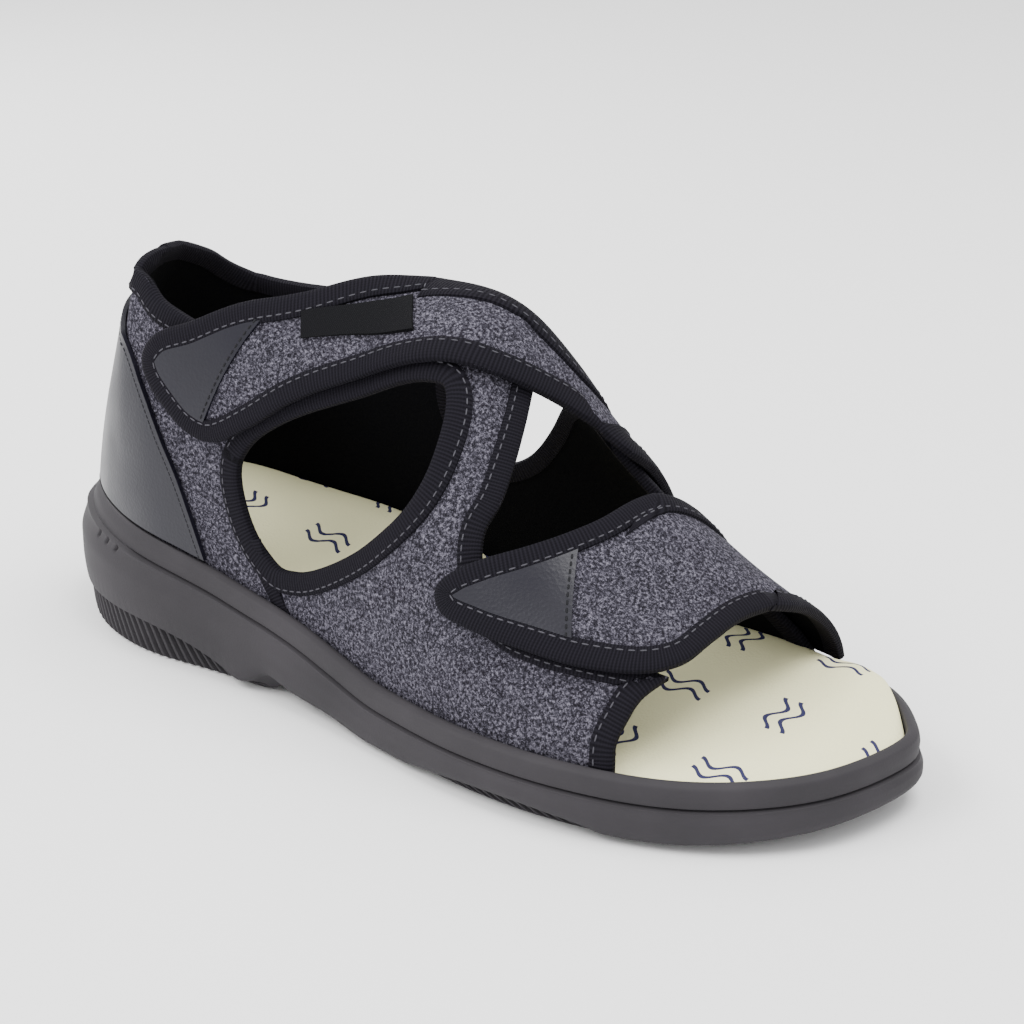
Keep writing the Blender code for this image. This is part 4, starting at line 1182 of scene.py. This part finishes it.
def ring_piece(name, look, outer_rows, inner_rows, **facts):
    """A closed piece from rows of points down both sides, which meet at the heel and at the toe."""
    count = len(outer_rows[0])
    total = 2 * count - 2
    vertices = np.vstack([
        np.vstack([outer, inner[-2:0:-1]]) for outer, inner in zip(outer_rows, inner_rows)
    ]) + SHIFT
    faces = quads(len(outer_rows), total, total)
    for base in (0, (len(outer_rows) - 1) * total):
        for k in range(1, count - 1):
            a, b = base + k, base + k + 1
            c, d = base + total - k - 1, base + total - k
            faces.append((a, b, c, d) if b != c else (a, b, d))
        faces.append((base, base + 1, base + total - 1))
    make_piece(name, vertices, faces, [look], **facts)


ring_piece("moulded_outsole", rubber, outsole_rows(-1), outsole_rows(1), replaces=["outsole"],
           slot="sole_charcoal")

# %% [markdown]
# The footbed lies in the outsole's recess. Its edge is soft and rounded, it swells a little
# towards its middle, and on the inner side it rises to hold the arch. It is made from the same
# kind of rows, closer together than in the solid.

# %% Lay the footbed
INSOLE_THICKNESS = 0.0040
INSOLE_COLUMNS = 160
TOE_OPEN_START = 0.852
TOE_OPEN_END = 0.893
INNER_RISE = 0.0062
INNER_RISE_START = 0.17
INNER_RISE_RAMP = 0.10
INNER_RISE_FALL = 1.3
TOE_NARROWING = 0.5
TOE_NARROWING_START = 0.82
TOE_NARROWING_END = 0.94
PATCH_CLEARANCE = 0.0005
InsoleRow = namedtuple("InsoleRow", "inset below dome")
INSOLE_ROWS = (
    InsoleRow(0.0130, 0.0, 0.0010),
    InsoleRow(0.0090, 0.0, 0.0008),
    InsoleRow(0.0060, 0.0, 0.0006),
    InsoleRow(0.0035, 0.0, 0.0003),
    InsoleRow(0.0018, 0.0001, 0.0),
    InsoleRow(0.0007, 0.0004, 0.0),
    InsoleRow(0.0002, 0.0009, 0.0),
    InsoleRow(0.0, 0.0016, 0.0),
)


def insole_rows(side):
    reach = np.linspace(0.0, edge_reach(side)[-1], INSOLE_COLUMNS)
    x = rim_spot(side, reach, np.zeros(len(reach)))[:, 0]
    share = x / LENGTH
    open_toe = eased((share - TOE_OPEN_START) / (TOE_OPEN_END - TOE_OPEN_START))
    inset = RIM_WIDTH + CLEARANCE + (WALL + PATCH_CLEARANCE) * (1 - open_toe)
    base = sole_level("rim", x) - RECESS_DEPTH + CLEARANCE
    rising = np.minimum((share - INNER_RISE_START) / 2, (1 - share) * INNER_RISE_FALL) / INNER_RISE_RAMP
    top = base + INSOLE_THICKNESS + INNER_RISE * eased(rising) * (side > 0)
    rows = [(row.inset, top - row.below + row.dome) for row in INSOLE_ROWS]
    rows.append((0.0, base))
    at_toe = eased((share - TOE_NARROWING_START) / (TOE_NARROWING_END - TOE_NARROWING_START))
    near = 1 - TOE_NARROWING * at_toe
    return [np.column_stack([rim_spot(side, reach, -(inset + more * near)), z]) for more, z in rows]


ring_piece("cloth_footbed", footbed, insole_rows(-1), insole_rows(1), replaces=["insole"],
           slot="footbed_cloth")

# %% [markdown]
# The upper is one wall of cloth with a dark lining. Its raw edges at the collar, the windows and
# the toe are hidden by the folded tapes, and a row of pale stitches runs near each tape's inner
# border. A further tape covers the seam where the quarter meets the vamp below the outer window.

# %% Cut and bind the upper
ridge_rear = ((BRANCH_FRONT, 1.0), (BRANCH_REAR, 1.0))
ridge_front = ((-BRANCH_REAR, 1.0), (-BRANCH_FRONT, 1.0))
seat_run = ((-VAMP_TOE, SEAT_BOTTOM), (INNER_VAMP_TOE, SEAT_BOTTOM))


def looped(runs):
    """Runs that close a loop, as chart points without a repeated corner."""
    return np.vstack([chart_run(run)[:-1] for run in runs])


around = looped((INNER_VAMP_FRONT, INNER_WINDOW_FRONT, ridge_rear, INNER_COLLAR, OUTER_COLLAR,
                 ridge_front, BRANCH_TO_VAMP, VAMP_TOE_EDGE, seat_run))
window = looped((OUTER_WINDOW_REAR, OUTER_WINDOW_FRONT, OUTER_WINDOW_TOP))
collar_line = joined((INNER_COLLAR, OUTER_COLLAR))
inner_line = joined((INNER_VAMP_FRONT, INNER_WINDOW_FRONT))
outer_line = joined((BRANCH_TO_VAMP, VAMP_TOE_EDGE))
UPPER_TOP = WALL - 0.0001
sheet("cloth_upper", wrapping, [around, window], 0.0, UPPER_TOP, [cloth, lining],
      [collar_line, inner_line, outer_line, window], replaces=["upper"], slot="melange_cloth")
STITCH_INSET = BINDING_WIDTH - 0.0013
STITCH_LIFT = 0.00072
SEAM_TAPE_WIDTH = 0.0050
for name, line, closed in (("collar", collar_line, False), ("inner_window", inner_line, False),
                           ("vamp", outer_line, False), ("outer_window", window, True)):
    tape(name + "_binding", wrapping, line, folded_tape(UPPER_TOP, 0.0), binding, closed)
    stitches(name + "_stitches", wrapping, line, STITCH_INSET, UPPER_TOP + STITCH_LIFT, thread, closed)
tape("quarter_seam_tape", wrapping, chart_run(QUARTER_SEAM), flat_tape(UPPER_TOP, SEAM_TAPE_WIDTH),
     binding)

# %% [markdown]
# The counter is a smooth leather cup over the back of the heel. Its edge is turned under, and the
# sheet ends there in a thin closed edge. A fine row of dark stitches follows its edge.

# %% Put on the heel counter
COUNTER_BOTTOM = WALL + 0.0003
COUNTER_TOP = WALL + 0.0016
COUNTER_STITCH_INSET = 0.0016
counter_loop = looped((COUNTER_EDGE, (COUNTER_EDGE[-1], COUNTER_EDGE[0])))
sheet("leather_counter", wrapping, [counter_loop], COUNTER_BOTTOM, COUNTER_TOP, [leather, leather],
      replaces=["heel_counter"], slot="soft_leather")
stitches("counter_stitches", wrapping, chart_run(COUNTER_EDGE)[::-1], COUNTER_STITCH_INSET,
         COUNTER_TOP - 0.00005, dark_thread, pitch=0.0015, size=0.0014)

# %% [markdown]
# Each strap starts at the inner seat, crosses the foot and ends on the outer side, where its tip
# is covered by a leather tab with a row of dark stitches. The straps are cut like the upper and
# lie over it, and the same folded tape runs round them.

# %% Cut, bind and finish the straps
STRAP_BOTTOM = 0.0036
STRAP_TOP = 0.0056
TAB_TOP = STRAP_TOP + 0.0007
TAB_INSET = BINDING_WIDTH - 0.0006
TAB_STITCH_INSET = 0.0012
PATCH_BOTTOM = STRAP_TOP - 0.0003


def tab_outline(run, front):
    """The tip of a strap inside its binding, closed by a line across the strap."""
    row = run + TAB_INSET * across(crossing, run)
    row = row[distances(on_last(crossing, row), on_last(crossing, run)) > TAB_INSET * 0.97]
    a, b = (np.array(spot) * (LENGTH, INSTEP_HEIGHT) for spot in front)
    line = b - a
    side = line[0] * (row[:, 1] - a[1]) - line[1] * (row[:, 0] - a[0])
    tip = np.flatnonzero(side < 0)
    first, last = tip[0], tip[-1]

    def cut(i, j):
        share = side[i] / (side[i] - side[j])
        return row[i] + share * (row[j] - row[i])

    start = cut(first - 1, first)
    end = cut(last, last + 1)
    return np.vstack([start, row[first : last + 1]]), spaced(np.array([end, start]), EDGE_SPACING)


for name, edge_spots, front, node in (
    ("ankle", ANKLE_STRAP_EDGE, ANKLE_TAB_FRONT, "ankle_strap"),
    ("toe", TOE_STRAP_EDGE, TOE_TAB_FRONT, "toe_strap"),
):
    edge_line = chart_run(edge_spots)
    loop = looped((edge_spots, (edge_spots[-1], edge_spots[0])))
    sheet(name + "_strap_cloth", crossing, [loop], STRAP_BOTTOM, STRAP_TOP, [cloth, lining],
          [edge_line], replaces=[node], slot="melange_cloth")
    tape(name + "_strap_binding", crossing, edge_line, folded_tape(STRAP_TOP, STRAP_BOTTOM), binding)
    stitches(name + "_strap_stitches", crossing, edge_line, STITCH_INSET, STRAP_TOP + STITCH_LIFT,
             thread)
    tip_line, front_line = tab_outline(edge_line, front)
    tab_loop = np.vstack([tip_line, front_line[:-1]])
    sheet(name + "_tab_leather", crossing, [tab_loop], PATCH_BOTTOM, TAB_TOP, [leather, leather],
          replaces=[node + "_tab"], slot="soft_leather")
    stitches(name + "_tab_stitches", crossing, front_line, TAB_STITCH_INSET, TAB_TOP, dark_thread,
             pitch=0.0020, size=0.0014, fat=1.6)

# %% [markdown]
# A small woven label is sewn beside the ankle strap's rear binding. It is black and left blank:
# its finish is the fine rib of woven tape.

# %% Sew on the label
LABEL_EDGES = (
    ((0.463, -0.130), (0.417, -0.252), (0.368, -0.366)), ((0.368, -0.366), (0.377, -0.425)),
    ((0.377, -0.425), (0.433, -0.325), (0.491, -0.241)), ((0.491, -0.241), (0.463, -0.130)),
)
LABEL_TOP = STRAP_TOP + 0.0010
sheet("blank_label", crossing, [looped(LABEL_EDGES)], PATCH_BOTTOM, LABEL_TOP, [woven, woven],
      replaces=["label_patch"], slot="woven_black")
